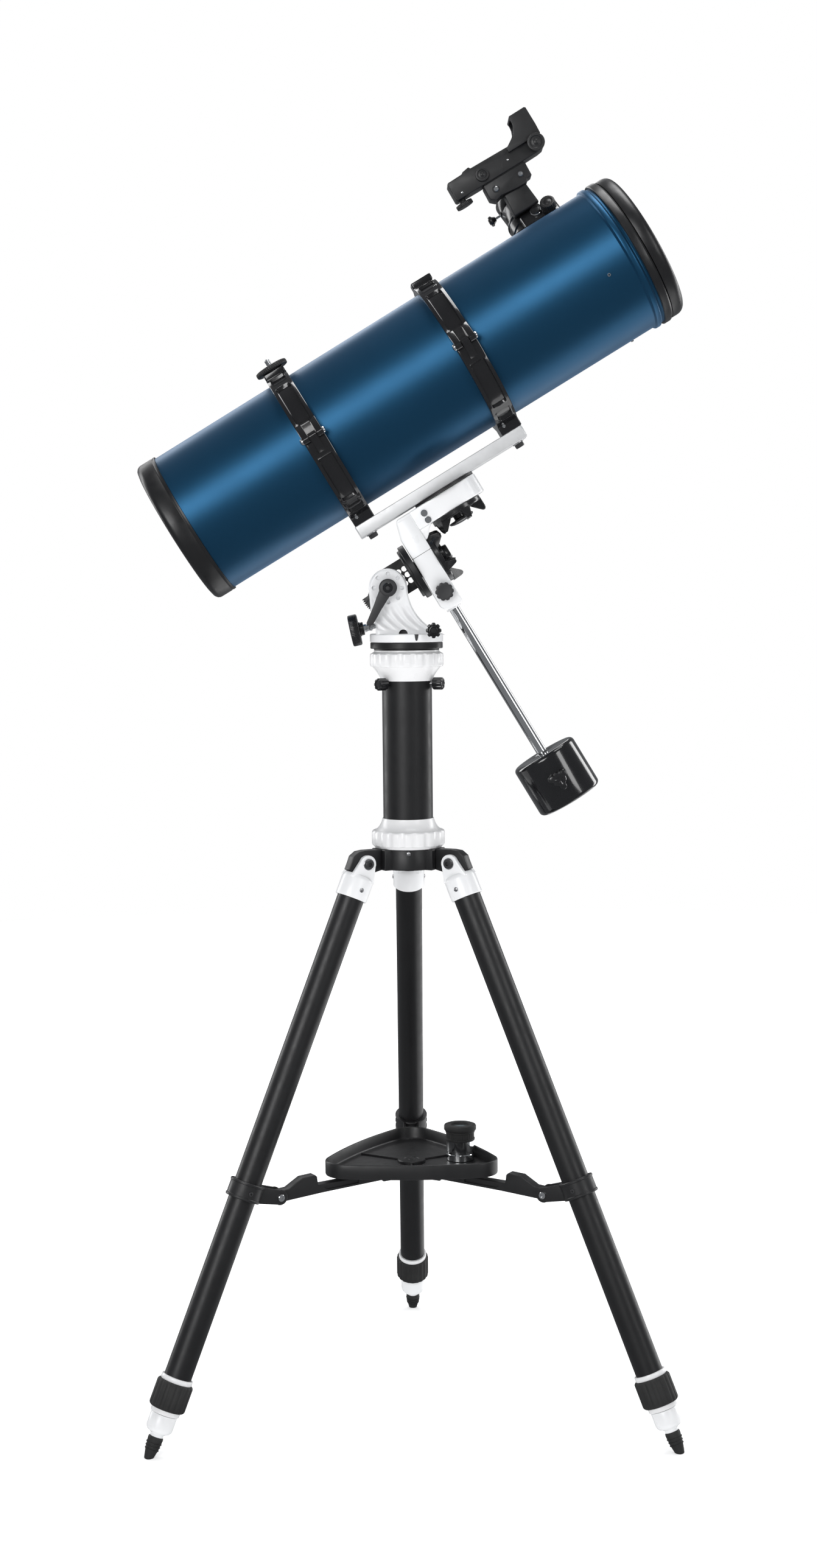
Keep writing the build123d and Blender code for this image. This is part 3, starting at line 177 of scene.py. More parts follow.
def lens_glass():
    """Clear glass whose coating turns from blue to green at a glancing angle."""
    mat = bpy.data.materials.new("coated_lens")
    mat.use_nodes = True
    tree = mat.node_tree
    fresnel = node(tree, "LayerWeight", {"Blend": 0.3})
    ramp = node(tree, "ValToRGB", {"Fac": fresnel.outputs["Facing"]})
    ramp.color_ramp.elements[0].color = (0.55, 0.62, 0.85, 1)
    ramp.color_ramp.elements[1].color = (0.45, 0.75, 0.60, 1)
    feed(tree, tree.nodes["Principled BSDF"], {"Transmission Weight": 0.9, "Roughness": 0.02, "IOR": 1.5,
        "Coat Weight": 0.6, "Base Color": ramp.outputs["Color"]})
    return mat


LENS = lens_glass()


# ---------------------------------------------------------------- mesh tools
def place_matrix(origin, x_dir, z_dir):
    """Local x along x_dir and z along z_dir, at origin."""
    z = Vector(z_dir).normalized()
    x = (Vector(x_dir) - z * Vector(x_dir).dot(z)).normalized()
    y = z.cross(x)
    m = Matrix((x, y, z)).transposed().to_4x4()
    m.translation = Vector(origin)
    return m


def clean(bm):
    bmesh.ops.remove_doubles(bm, verts=bm.verts, dist=0.0005)
    bmesh.ops.recalc_face_normals(bm, faces=bm.faces)


def piece(name, bm, mat, body, replaces=None, bevel=0.0, segments=2, smooth=35.0, weld=True):
    """Turns a bmesh in millimetres into a finished object that rides on a body and stands for a CAD node."""
    if weld:
        clean(bm)
    for vert in bm.verts:
        vert.co *= MM
    mesh = bpy.data.meshes.new(name)
    bm.to_mesh(mesh)
    bm.free()
    obj = bpy.data.objects.new(name, mesh)
    bpy.context.collection.objects.link(obj)
    if bevel:
        rounded = obj.modifiers.new("edges", "BEVEL")
        rounded.width = bevel * MM
        rounded.segments = segments
        rounded.limit_method = "ANGLE"
        rounded.angle_limit = radians(32)
        rounded.use_clamp_overlap = True
        settle(obj)
    mats = mat if isinstance(mat, list) else [mat]
    for one in mats:
        obj.data.materials.append(one)
    shade(obj, smooth)
    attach(obj, body)
    if replaces:
        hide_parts(replaces)
    return obj


def shade(obj, angle):
    """Shades an object smooth, with hard edges above an angle."""
    for face in obj.data.polygons:
        face.use_smooth = True
    obj.data.set_sharp_from_angle(angle=radians(angle))


def settle(obj):
    """Applies an object's modifiers to its mesh."""
    graph = bpy.context.evaluated_depsgraph_get()
    graph.update()
    final = bpy.data.meshes.new_from_object(obj.evaluated_get(graph))
    old = obj.data
    obj.modifiers.clear()
    obj.data = final
    bpy.data.meshes.remove(old)


def carve(obj, bm, operation="DIFFERENCE"):
    """Cuts a bmesh in millimetres out of an object, or joins it on."""
    clean(bm)
    for vert in bm.verts:
        vert.co *= MM
    mesh = bpy.data.meshes.new("cutter")
    bm.to_mesh(mesh)
    bm.free()
    cutter = bpy.data.objects.new("cutter", mesh)
    bpy.context.collection.objects.link(cutter)
    step = obj.modifiers.new("carve", "BOOLEAN")
    step.operation = operation
    step.solver = "EXACT"
    step.object = cutter
    settle(obj)
    bpy.data.objects.remove(cutter)
    bpy.data.meshes.remove(mesh)


def drill(obj, at, radius, low, high, count):
    """Cuts a cylinder about local z out of an object."""
    carve(obj, lathe(bmesh.new(), at, [(0, low), (radius, low), (radius, high), (0, high)], count))


def lathe(bm, at, profile, count=96, ring=False, shape=None):
    """Turns (radius, height) points about local z. shape(angle, height, radius) may change the radius."""
    loops = []
    for radius, height in profile:
        if radius < 1e-6:
            loops.append([bm.verts.new(at @ Vector((0, 0, height)))])
            continue
        loop = []
        for i in range(count):
            a = 2 * pi * i / count
            r = shape(a, height, radius) if shape else radius
            loop.append(bm.verts.new(at @ Vector((r * cos(a), r * sin(a), height))))
        loops.append(loop)
    pairs = list(zip(loops, loops[1:] + ([loops[0]] if ring else [])))
    if not ring:
        pairs = pairs[: len(loops) - 1]
    for low, high in pairs:
        for i in range(count):
            j = (i + 1) % count
            if len(low) == 1 and len(high) == 1:
                continue
            if len(low) == 1:
                bm.faces.new((low[0], high[i], high[j]))
            elif len(high) == 1:
                bm.faces.new((low[i], low[j], high[0]))
            else:
                bm.faces.new((low[i], low[j], high[j], high[i]))
    return bm


def prism(bm, at, points, low, high):
    """A straight-sided block: an outline in local x, y from height low to high."""
    bottom = [bm.verts.new(at @ Vector((x, y, low))) for x, y in points]
    top = [bm.verts.new(at @ Vector((x, y, high))) for x, y in points]
    bm.faces.new(bottom)
    bm.faces.new(top)
    count = len(points)
    for i in range(count):
        j = (i + 1) % count
        bm.faces.new((bottom[i], bottom[j], top[j], top[i]))
    return bm


def rounded_box(half_x, half_y, radius, steps=8):
    points = []
    for cx, cy, start in ((1, 1, 0), (-1, 1, 90), (-1, -1, 180), (1, -1, 270)):
        for i in range(steps + 1):
            a = radians(start + 90 * i / steps)
            points.append((cx * (half_x - radius) + radius * cos(a), cy * (half_y - radius)
                + radius * sin(a)))
    return points


def arc_points(cx, cy, radius, start, end, steps):
    return [(cx + radius * cos(radians(start + (end - start) * i / steps)), cy + radius * sin(radians(start
        + (end - start) * i / steps))) for i in range(steps + 1)]


def turned(name, origin, axis, profile, mat, body, replaces=None, count=96, ring=False, smooth=35.0,
           shape=None, x_dir=None):
    """A lathed piece, turned about an axis at an origin."""
    side = x_dir or (BACK if abs(Vector(axis).normalized().dot(BACK)) < 0.9 else RIGHT)
    bm = lathe(bmesh.new(), place_matrix(origin, side, axis), profile, count, ring, shape)
    return piece(name, bm, mat, body, replaces, smooth=smooth)


def socket_screw(name, origin, axis, radius, height, mat, body, hex_r=None):
    """A cap screw: a turned head with a rounded rim and a hexagon socket."""
    hex_r = hex_r or radius * 0.5
    at = place_matrix(origin, BACK if abs(Vector(axis).normalized().dot(BACK)) < 0.9 else RIGHT, axis)

    def loop(h, size, six=False):
        row = []
        for i in range(48):
            a = 2 * pi * i / 48
            r = size * cos(pi / 6) / cos(a % (pi / 3) - pi / 6) if six else size
            row.append(at @ Vector((r * cos(a), r * sin(a), h)))
        return row

    bm = bmesh.new()
    loft(bm, [loop(-0.5, radius), loop(height * 0.8, radius), loop(height, radius * 0.88),
        loop(height, hex_r, True), loop(height * 0.3, hex_r, True)])
    return piece(name, bm, mat, body, smooth=30)


# ---------------------------------------------------------------- small shapes that repeat
def smooth_step(x):
    x = max(0.0, min(1.0, x))
    return x * x * (3 - 2 * x)


def soft_panel(x, y, half_x, half_y, corner, edge):
    """1 well inside a rectangle with round corners about the origin, 0 outside it."""
    dx = max(abs(x) - (half_x - corner), 0.0)
    dy = max(abs(y) - (half_y - corner), 0.0)
    return smooth_step((corner - hypot(dx, dy)) / edge)


def loft(bm, loops, close=True, cap=True):
    """Joins equal loops of points in order, each loop closed on itself."""
    rows = [[bm.verts.new(p) for p in loop] for loop in loops]
    count = len(rows[0])
    for low, high in zip(rows, rows[1:]):
        for i in range(count if close else count - 1):
            j = (i + 1) % count
            bm.faces.new((low[i], low[j], high[j], high[i]))
    if cap:
        bm.faces.new(rows[0])
        bm.faces.new(rows[-1])
    return rows


def knob(name, origin, axis, radius, height, lobes, depth, mat, body, replaces=None, phase=0.0, dish=0.8,
         edge=1.0, hub=0.0, sharp=1.0, x_dir=None):
    """A hand knob with scalloped edge, rounded rims and a dished face."""
    def shape(a, h, r):
        if r < radius * 0.7:
            return r
        groove = max(0.0, -cos(lobes * (a - phase))) ** sharp
        return r - depth * groove

    profile = [(0, 0), (radius - edge, 0), (radius - edge * 0.3, edge * 0.3), (radius, edge),
        (radius, height - edge), (radius - edge * 0.3, height - edge * 0.3), (radius - edge, height),
        (radius * 0.69, height), (radius * 0.6, height - dish)]
    if hub:
        profile += [(hub + 0.6, height - dish), (hub, height - dish + 0.4), (hub - 0.4, height - 0.1)]
        profile += [(0, height)]
    else:
        profile += [(0, height - dish)]
    count = max(72, lobes * 10)
    return turned(name, origin, axis, profile, mat, body, replaces, count, smooth=40, shape=shape,
        x_dir=x_dir)


def rod(name, origin, axis, radius, length, mat, body, chamfer=0.4, replaces=None, count=48):
    """A plain round bar with chamfered ends."""
    profile = [(0, 0), (radius - chamfer, 0), (radius, chamfer), (radius, length - chamfer),
        (radius - chamfer, length), (0, length)]
    return turned(name, origin, axis, profile, mat, body, replaces, count)


def dome(name, origin, axis, radius, height, mat, body):
    """A round-headed pin or rivet."""
    profile = [(0, -0.6), (radius, -0.6), (radius, height * 0.25)]
    profile += [(radius * cos(radians(a)), height * (0.25 + 0.75 * sin(radians(a)))) for a in (20, 40, 60,
        78)]
    return turned(name, origin, axis, profile + [(0, height)], mat, body, count=36, smooth=60)


def block(name, at, points, low, high, mat, body, replaces=None, bevel=1.0, segments=3):
    """An extruded piece with rounded edges."""
    return piece(name, prism(bmesh.new(), at, points, low, high), mat, body, replaces, bevel=bevel,
        segments=segments)


SIDE_VIEW = place_matrix(PIVOT, ALONG, FRONT)  # x along, y up, z towards the lever's side


# ---------------------------------------------------------------- tube, its fittings and optics
def tube_axis_at(along):
    return head(along, TUBE_UP)


def build_tube():
    wall = [(TUBE_R, -145.4), (TUBE_R, 401.5)]
    wall += [(TUBE_R + 2.6 * smooth_step(i / 6), 401.5 + i / 2) for i in range(1, 7)]
    wall += [(TUBE_R + 2.6, 408.5)]
    wall += [(TUBE_R + 2.6 * (1 - smooth_step(i / 6)), 408.5 + i / 2) for i in range(1, 7)]
    wall += [(TUBE_R, 413.9), (TUBE_R - 1.2, 413.9), (TUBE_R - 1.2, -145.4)]
    bm = lathe(bmesh.new(), place_matrix(tube_axis_at(0), BACK, ALONG), wall, 240, ring=True)
    obj = piece("tube_shell", bm, [BLUE, INNER_BLACK], "tube_carriage", "main_tube")
    drill(obj, place_matrix(head(FOCUSER_ALONG, TUBE_UP) + OUT * 60, ALONG, OUT), 20, 0, 60, 64)
    axis_point = tube_axis_at(0) * MM
    for face in obj.data.polygons:
        offset = face.center - axis_point
        radial = offset - ALONG * offset.dot(ALONG)
        face.use_smooth = True
        face.material_index = 1 if radial.normalized().dot(face.normal) < 0 else 0
    obj.data.set_sharp_from_angle(angle=radians(35))


def build_rear_cell():
    at = tube_axis_at(0)
    rim = [(58, -170), (78, -170), (81.5, -169.2), (83.6, -167.4), (84.8, -165), (85, -163), (85, -150),
        (84.6, -149.4), (84.6, -148.6), (85, -148), (85, -145.5), (81.6, -145.5), (81.6, -137.5),
        (79, -137.5), (79, -160), (60, -162), (58, -164)]
    turned("rear_cell_rim", at, ALONG, rim, SATIN_PLASTIC, "tube_carriage", "rear_cell", 160, ring=True)
    plate = [(0, -161.5), (16, -161.5), (18, -162.5), (20, -161.5), (79.2, -161.5), (79.2, -154), (0, -154)]
    turned("mirror_backing_plate", at, ALONG, plate, PLASTIC, "tube_carriage", count=120)
    for k in range(3):
        a = radians(90 + 120 * k)
        spot = BACK * (48 * cos(a)) + UP * (48 * sin(a))
        knob(f"collimation_knob_{k + 1}", tube_axis_at(-161.5) + spot, -ALONG, 8.5, 7.2, 10, 0.8, PLASTIC,
            "tube_carriage")
        b = radians(120 + 120 * k)
        lock = BACK * (48 * cos(b)) + UP * (48 * sin(b))
        socket_screw(f"collimation_lock_{k + 1}", tube_axis_at(-161.5) + lock, -ALONG, 3.6, 3.0, CHROME,
            "tube_carriage")
        clip = BACK * (66 * cos(a)) + UP * (66 * sin(a))
        inward = BACK * -cos(a) + UP * -sin(a)
        post = place_matrix(tube_axis_at(-154) + clip, inward, ALONG)
        bm = prism(bmesh.new(), post, rounded_box(4, 5, 1.5, 4), 0, 30.5)
        prism(bm, place_matrix(tube_axis_at(-123.4) + clip, inward, ALONG), [(x + 3, y) for x,
            y in rounded_box(6, 4.5, 1.5, 4)], 0, 1.6)
        piece(f"mirror_clip_{k + 1}", bm, PLASTIC, "tube_carriage", bevel=0.4, weld=False)
    mirror = [(0, -140), (64, -140), (65, -139), (65, -125), (64.4, -124.2)]
    face = [(64.0 * i / 12, -125.6 + 1.4 * (i / 12) ** 2) for i in range(12, 0, -1)]
    obj = turned("primary_mirror_disc", at, ALONG, mirror + face + [(0, -125.6)], [MIRROR, CERAMIC_GLASS],
        "tube_carriage", "primary_mirror", 128)
    for poly in obj.data.polygons:
        poly.material_index = 0 if poly.normal.dot(ALONG) > 0.6 else 1


def build_front_end():
    at = tube_axis_at(0)
    rim = [(79, 402.5), (81.6, 402.5), (81.6, 413.9), (85.2, 413.9), (86, 414.8), (86, 421.2), (85.4, 422.4),
        (84, 423.8), (79.2, 423.8)]
    turned("front_flange", at, ALONG, rim, SATIN_PLASTIC, "tube_carriage", "front_ring", 160, ring=True)
    cap = [(76, 408.2), (78.2, 408.2), (78.4, 409), (78.4, 424.5), (84.3, 424.5), (84.6, 425.2),
        (84.6, 431.5)]
    cap += [(84.6 - 6.6 * (1 - cos(radians(a))), 431.5 + 8.3 * sin(radians(a))) for a in (15, 30, 45, 60, 75,
        90)]
    cap += [(76.5, 439.8), (75.5, 438.6), (73.8, 438.6), (72.8, 439.8), (30, 439.8), (29, 438.8), (27, 438.8)]
    cap += [(26, 439.8), (0, 439.8), (0, 437.4), (74.5, 437.4), (76, 436)]
    turned("dust_cover", at, ALONG, cap, SATIN_PLASTIC, "cap", "dust_cap", 160)
    hub_at = head(359, TUBE_UP)
    boss = [(0, 0), (11.4, 0), (12, 0.8), (12, 22), (11, 23.6), (4, 23.6), (3.2, 22.6), (0, 22.6)]
    turned("spider_boss", hub_at, ALONG, boss, POWDER, "tube_carriage", "spider", 64)
    for k in range(4):
        a = radians(90 * k - 35 + 45)
        out = BACK * cos(a) + UP * sin(a)
        vane = place_matrix(head(371, TUBE_UP) + out * 46.4, out, ALONG)
        block(f"spider_vane_{k + 1}", vane, [(-35.3, -0.45), (35.3, -0.45), (35.3, 0.45), (-35.3, 0.45)], 0,
            10, POWDER, "tube_carriage", bevel=0.15, segments=1)
        socket_screw(f"spider_screw_{k + 1}", head(376, TUBE_UP) + out * 81.6, out, 2.0, 3.2, CHROME,
            "tube_carriage")
    for k in range(3):
        a = radians(60 + 120 * k)
        socket_screw(f"secondary_screw_{k + 1}", head(382.4, TUBE_UP) + BACK * (7 * cos(a))
            + UP * (7 * sin(a)), ALONG, 1.9, 1.6, CHROME, "tube_carriage")


build_tube()
build_rear_cell()
build_front_end()


# ---------------------------------------------------------------- tube rings
RINGS = (16.7, 207.5)
RING_OUTER = 91.0
RING_INNER = 83.3
RING_FACE = (-12.5, -12.3, -11.6, -9.6, -8.9, -8.5, -8.1, -7.7, -7.2, -4, 0, 4, 7.2, 7.7, 8.1, 8.5, 8.9, 9.6,
    11.6, 12.3, 12.5)
RIM_DROP = {12.5: 1.0, 12.3: 0.35}


def ring_point(along, angle, radius):
    """A point about the tube: angle 0 faces the hinge's side and 90 is the top."""
    a = radians(angle)
    return head(along, TUBE_UP + radius * sin(a), -radius * cos(a))


def ring_band(along, start, end, panels):
    """Half of a ring: an arc with recessed panels in its outer face."""
    steps = int((end - start) / 0.8)
    loops = []
    for i in range(steps + 1):
        angle = start + (end - start) * i / steps
        loop = [ring_point(along + 12.5, angle, RING_INNER), ring_point(along - 12.5, angle, RING_INNER)]
        for s in RING_FACE:
            radius = RING_OUTER - RIM_DROP.get(abs(s), 0.0)
            for middle, half_arc, half_width in panels:
                arc = radians(angle - middle) * RING_OUTER
                depth = soft_panel(s, arc, half_width, half_arc, 3.0, 1.0)
                lip = soft_panel(s, arc, half_width + 1.6, half_arc + 1.6, 4.0, 1.2)
                radius += 0.5 * (lip - depth) - 2.6 * depth
            loop.append(ring_point(along + s, angle, radius))
        loops.append(loop)
    bm = bmesh.new()
    loft(bm, loops)
    return bm


def build_ring(number, along):
    lid = f"ring_lid_{number}"
    upper = [(33, 29, 8.6), (64, 10, 8.6), (116, 10, 8.6), (147, 29, 8.6)]
    lower = [(-31, 30, 8.6), (-61, 8, 8.6), (-119, 8, 8.6), (-149, 30, 8.6)]
    piece(f"ring_upper_band_{number}", ring_band(along, 3.5, 176.2, upper), GLOSS_BLACK, lid,
        f"ring_upper_{number}", smooth=40)
    owned = "ring_lower" if number == 1 else None
    piece(f"ring_lower_band_{number}", ring_band(along, -183.3, 3.1, lower), GLOSS_BLACK, "tube_carriage",
        owned, smooth=40)
    for name, angle_start, angle_end, body in (("upper", 4, 176, lid), ("lower", -183, 3, "tube_carriage")):
        loops = []
        for i in range(91):
            angle = angle_start + (angle_end - angle_start) * i / 90
            loops.append([ring_point(along + s, angle, r) for s, r in ((-11.5, RING_INNER + 0.02),
                (-11.5, 83.06), (11.5, 83.06), (11.5, RING_INNER + 0.02))])
        bm = bmesh.new()
        loft(bm, loops)
        piece(f"ring_felt_{name}_{number}", bm, FELT, body)

    pad = place_matrix(head(along, TUBE_UP + 84), ALONG, UP)
    block(f"ring_pad_{number}", pad, rounded_box(12.4, 13, 2.0), 4, 12.4, GLOSS_BLACK, lid, bevel=1.2)
    foot = place_matrix(head(along, 76.1), ALONG, UP)
    bm = prism(bmesh.new(), foot, rounded_box(12.4, 21.4, 1.2), 0, 16)
    obj = piece(f"ring_foot_{number}", bm, GLOSS_BLACK, "tube_carriage", bevel=1.0)
    drill(obj, place_matrix(tube_axis_at(along - 20), BACK, ALONG), 84.4, 0, 40, 96)
    shade(obj, 35)
    socket_screw(f"ring_foot_screw_{number}", head(along - 5.5, 84.5, -21.2), FRONT, 1.9, 1.4, CHROME,
        "tube_carriage")

    hinge = head(along, TUBE_UP + 5.0, -96.0)
    knuckle = [(0, 0), (4.1, 0), (4.6, 0.5), (4.6, 8.5), (4.1, 9), (0, 9)]
    turned(f"hinge_middle_{number}", hinge - ALONG * 4.5, ALONG, knuckle, GLOSS_BLACK, "tube_carriage",
        count=40)
    for side, start in ((-1, -12.5), (1, 5.0)):
        outer = [(0, 0), (4.1, 0), (4.6, 0.5), (4.6, 7), (4.1, 7.5), (0, 7.5)]
        turned(f"hinge_outer_{number}_{side + 1}", hinge + ALONG * start, ALONG, outer, GLOSS_BLACK, lid,
            count=40)
        dome(f"hinge_pin_{number}_{side + 1}", hinge + ALONG * (12.5 * side), ALONG * side, 3.9, 3.2, CHROME,
            lid)
    for name, body, spans, base_angle, tip in (("lower", "tube_carriage", ((-4.4, 4.4),), -9.0, -1.0),
                                               ("upper", lid, ((-12.4, -5.0), (5.0, 12.4)), 15.0, 11.0)):
        bm = bmesh.new()
        for low, high in spans:
            sides = []
            for s in (low, high):
                sides.append([ring_point(along + s, base_angle, RING_OUTER - 3), ring_point(along + s,
                    base_angle, RING_OUTER - 0.2), head(along + s, TUBE_UP + 5.0 + (tip - 5) * 0.35, -100.3),
                    head(along + s, TUBE_UP + 5.0 + (0.35 if tip > 5 else -0.05), -99.2),
                    ring_point(along + s, 3.5 if tip > 5 else 3.0, RING_OUTER - 4),])
            loft(bm, sides)
        piece(f"hinge_leaf_{name}_{number}", bm, GLOSS_BLACK, body, bevel=0.5, weld=False)

    for name, body, low, high in (("lower", "tube_carriage", -16, -0.1), ("upper", lid, 0.3, 16)):
        lug = place_matrix(head(along, TUBE_UP + 5.0, 96), ALONG, UP)
        block(f"ring_lug_{name}_{number}", lug, rounded_box(12.2, 9.8, 3.0), low, high, GLOSS_BLACK, body,
            bevel=0.8)
    screw = f"ring_screw_{number}"
    knob(f"ring_clamp_knob_{number}", head(along, TUBE_UP + 21.6, 99), UP, 10, 11, 6, 2.0, GLOSS_PLASTIC,
        screw, f"ring_clamp_{number}", hub=3.4, edge=1.4)
    rod(f"ring_clamp_stud_{number}", head(along, TUBE_UP - 5, 99), UP, 3.0, 28, STEEL, screw)


for number, along in enumerate(RINGS, start=1):
    build_ring(number, along)

# A camera stud with its lock disc on the rear ring, and a plain pad screw on the front one.
stud_lid = "ring_lid_1"
knob("stud_knurled_base", head(RINGS[0], TUBE_UP + 95.4), UP, 12.3, 1.4, 60, 0.35, STEEL, stud_lid, dish=0.1,
    edge=0.3)
knob("stud_lock_disc", head(RINGS[0], TUBE_UP + 96.6), UP, 19, 5.9, 44, 0.5, PLASTIC, stud_lid,
    "piggyback_stud", hub=6.0, edge=1.6)
threads = [(0, 0), (3.1, 0)]
for turn in range(11):
    threads += [(3.17, 1.0 + turn * 0.8), (2.75, 1.4 + turn * 0.8)]
threads += [(2.9, 9.4), (2.2, 10.3), (0, 10.5)]
turned("stud_thread", head(RINGS[0], TUBE_UP + 101.0), UP, threads, CHROME, stud_lid, count=32)
socket_screw("front_pad_screw", head(204.5, TUBE_UP + 96.3), UP, 2.2, 0.9, CHROME, "ring_lid_2")


# ---------------------------------------------------------------- mounting bar and saddle
def build_bar():
    middle = (3.3 + 219.0) / 2
    at = place_matrix(head(middle, 61.9), ALONG, UP)
    block("bar_body", at, rounded_box(107.8, 21.4, 2.0, 6), 0, 14.1, SILVER, "tube_carriage", "mounting_bar",
        bevel=0.9)
    for k, along in enumerate(RINGS, start=1):
        turned(f"bar_washer_{k}", head(along, 61.9), -UP, [(3, 0), (6.6, 0), (6.6, 1.0), (6.2, 1.3),
            (3, 1.3)], STEEL, "tube_carriage", "bar_bolts" if k == 1 else None, count=40, ring=True)
        socket_screw(f"bar_bolt_{k}", head(along, 60.9), -UP, 5.2, 5.0, GREY_PLASTIC, "tube_carriage",
            hex_r=2.8)
    disc = [(0, 0), (36.2, 0), (37, 0.5), (37, 2.6), (36.6, 3.0), (0, 3.0)]
    turned("saddle_disc", head(SADDLE_ALONG, 58.8), UP, disc, POWDER, "tube_carriage", "dec_saddle", 120)
    rod("saddle_axle", head(SADDLE_ALONG, 30.1), UP, 10, 28.7, STEEL, "tube_carriage")


# ---------------------------------------------------------------- right ascension head
def clutch_wheel(name, origin, axis, x_dir, first, body, node):
    """A clamp wheel: a thin disc with five raised fins at its rim."""
    at = place_matrix(origin, x_dir, axis)
    rim = [(10.1, 0), (29.2, 0), (30, 0.7), (30, 4.6), (29.2, 5.6), (27, 6.1), (17, 6.1), (15.4, 5.2),
        (10.1, 5.2)]
    bm = lathe(bmesh.new(), at, rim, 120, ring=True)
    piece(f"{name}_disc", bm, GLOSS_PLASTIC, body, node)
    profile = [(29.9, 4.0), (29.9, 13.4), (29.5, 15.4), (28.6, 16.6), (27.4, 16.9), (26.0, 16.3),
        (24.6, 15.0), (17.8, 8.0), (16.6, 6.6), (16.2, 5.0)]
    bm = bmesh.new()
    for k in range(5):
        a = radians(first + 72 * k)
        along_r = Vector((cos(a), sin(a), 0))
        across_r = Vector((-sin(a), cos(a), 0))
        sides = []
        for side in (-1, 1):
            row = []
            for r, h in profile:
                half = 6.2 - 4.0 * smooth_step((h - 4.0) / 13.5) - 0.08 * (30 - r)
                row.append(at @ (along_r * r + across_r * (side * half) + Vector((0, 0, h))))
            sides.append(row)
        loft(bm, sides)
    piece(f"{name}_fins", bm, GLOSS_PLASTIC, body, bevel=1.1, segments=3, weld=False)


def build_head():
    block("ra_casting", SIDE_VIEW, [(40.0, 37.5), (45.0, 55.2), (46.6, 57.8), (49.0, 58.4), (63.5, 58.4),
        (63.5, -53.2), (62.8, -55.2)] + [(61.0, -56.0), (52.0, -56.0)] + arc_points(48.6, -46.2, 9.8, 258,
        187, 7) + [(38.9, -44.0)], -27, 27, WHITE, "ra_head", "ra_plate", bevel=1.5, segments=4)
    panel = [(41.6, 36.8), (46.4, 54.8), (61.6, 54.8), (61.6, -27.5), (58.5, -30), (41.0, -30)]
    block("ra_name_panel", SIDE_VIEW, panel, 26.8, 27.35, WHITE, "ra_head", bevel=0.3, segments=2)
    seam = [(39.4, 12.4), (63.7, 12.4), (63.7, 11.9), (39.4, 11.9)]
    block("ra_seam", SIDE_VIEW, seam, 26.9, 27.42, GREY_PLASTIC, "ra_head", bevel=0.0)
    at = place_matrix(head(0, 36.0), ALONG, UP)
    plate = [(63.0, -27)] + arc_points(127.5, -7.0, 20, -90, 0, 10)
    plate += arc_points(127.5, 7.0, 20, 0, 90, 10) + [(63.0, 27)]
    block("dec_casting", at, plate, 0, 22.5, WHITE, "ra_head", "dec_plate", bevel=1.5, segments=4)
    web = [(63.0, 36.5), (63.0, 23.0), (66.0, 23.6), (70.0, 27.0), (73.6, 32.0), (79.0, 36.5)]
    block("head_gusset", SIDE_VIEW, web, -24, 24, WHITE, "ra_head", bevel=1.2)
    for k, up in enumerate((49.0, 40.5), start=1):
        turned(f"head_screw_recess_{k}", head(77, up, -27), FRONT, [(3.3, -0.3), (4.7, -0.3), (4.7, 0.1),
            (4.2, 0.4), (3.3, 0.4)], WHITE, "ra_head", count=40, ring=True)
        socket_screw(f"head_screw_{k}", head(77, up, -27), FRONT, 3.7, 2.0, CHROME, "ra_head", hex_r=1.9)

    rod("shaft_polished", head(SHAFT_ALONG, -33), -UP, 6.0, 275, CHROME, "ra_head", 0.8,
        "counterweight_shaft", 72)
    turned("shaft_collar", head(SHAFT_ALONG, -55.9), -UP, [(6, 0), (8.6, 0), (8.6, 1.6), (8.1, 2.1),
        (6, 2.1)], WHITE, "ra_head", ring=True)
    knob("shaft_lock_star", head(SHAFT_ALONG, -36.2, -27.3), FRONT, 10.3, 10.8, 10, 1.2, GREY_PLASTIC,
        "shaft_lock", "shaft_lock_knob", dish=0.15, edge=0.5, sharp=0.55, phase=0.2, x_dir=ALONG)

    clutch_wheel("ra_wheel", head(63.9, 0), ALONG, BACK, 63, "ra_clutch", "ra_wheel")
    caps = [(0, 5.1), (13.6, 5.1), (13.6, 9.6), (12.8, 10.6), (9.4, 10.8), (9.0, 11.4), (8.6, 15.0),
        (7.8, 15.8), (0, 15.8)]
    turned("ra_wheel_cap", head(63.9, 0), ALONG, caps, GLOSS_PLASTIC, "ra_clutch", count=72)
    clutch_wheel("dec_wheel", head(SADDLE_ALONG, 35.7), -UP, ALONG, 1, "dec_clutch", "dec_wheel")
    mushroom = [(0, 5.1), (7.4, 5.1), (7.0, 6.5), (7.0, 10.6), (8.4, 11.6), (13.6, 11.6), (14.8, 11.9),
        (15.1, 12.8), (14.2, 14.2), (11, 15.4), (6, 16.2), (0, 16.5)]
    turned("dec_wheel_cap", head(SADDLE_ALONG, 35.7), -UP, mushroom, GLOSS_PLASTIC, "dec_clutch", count=72)


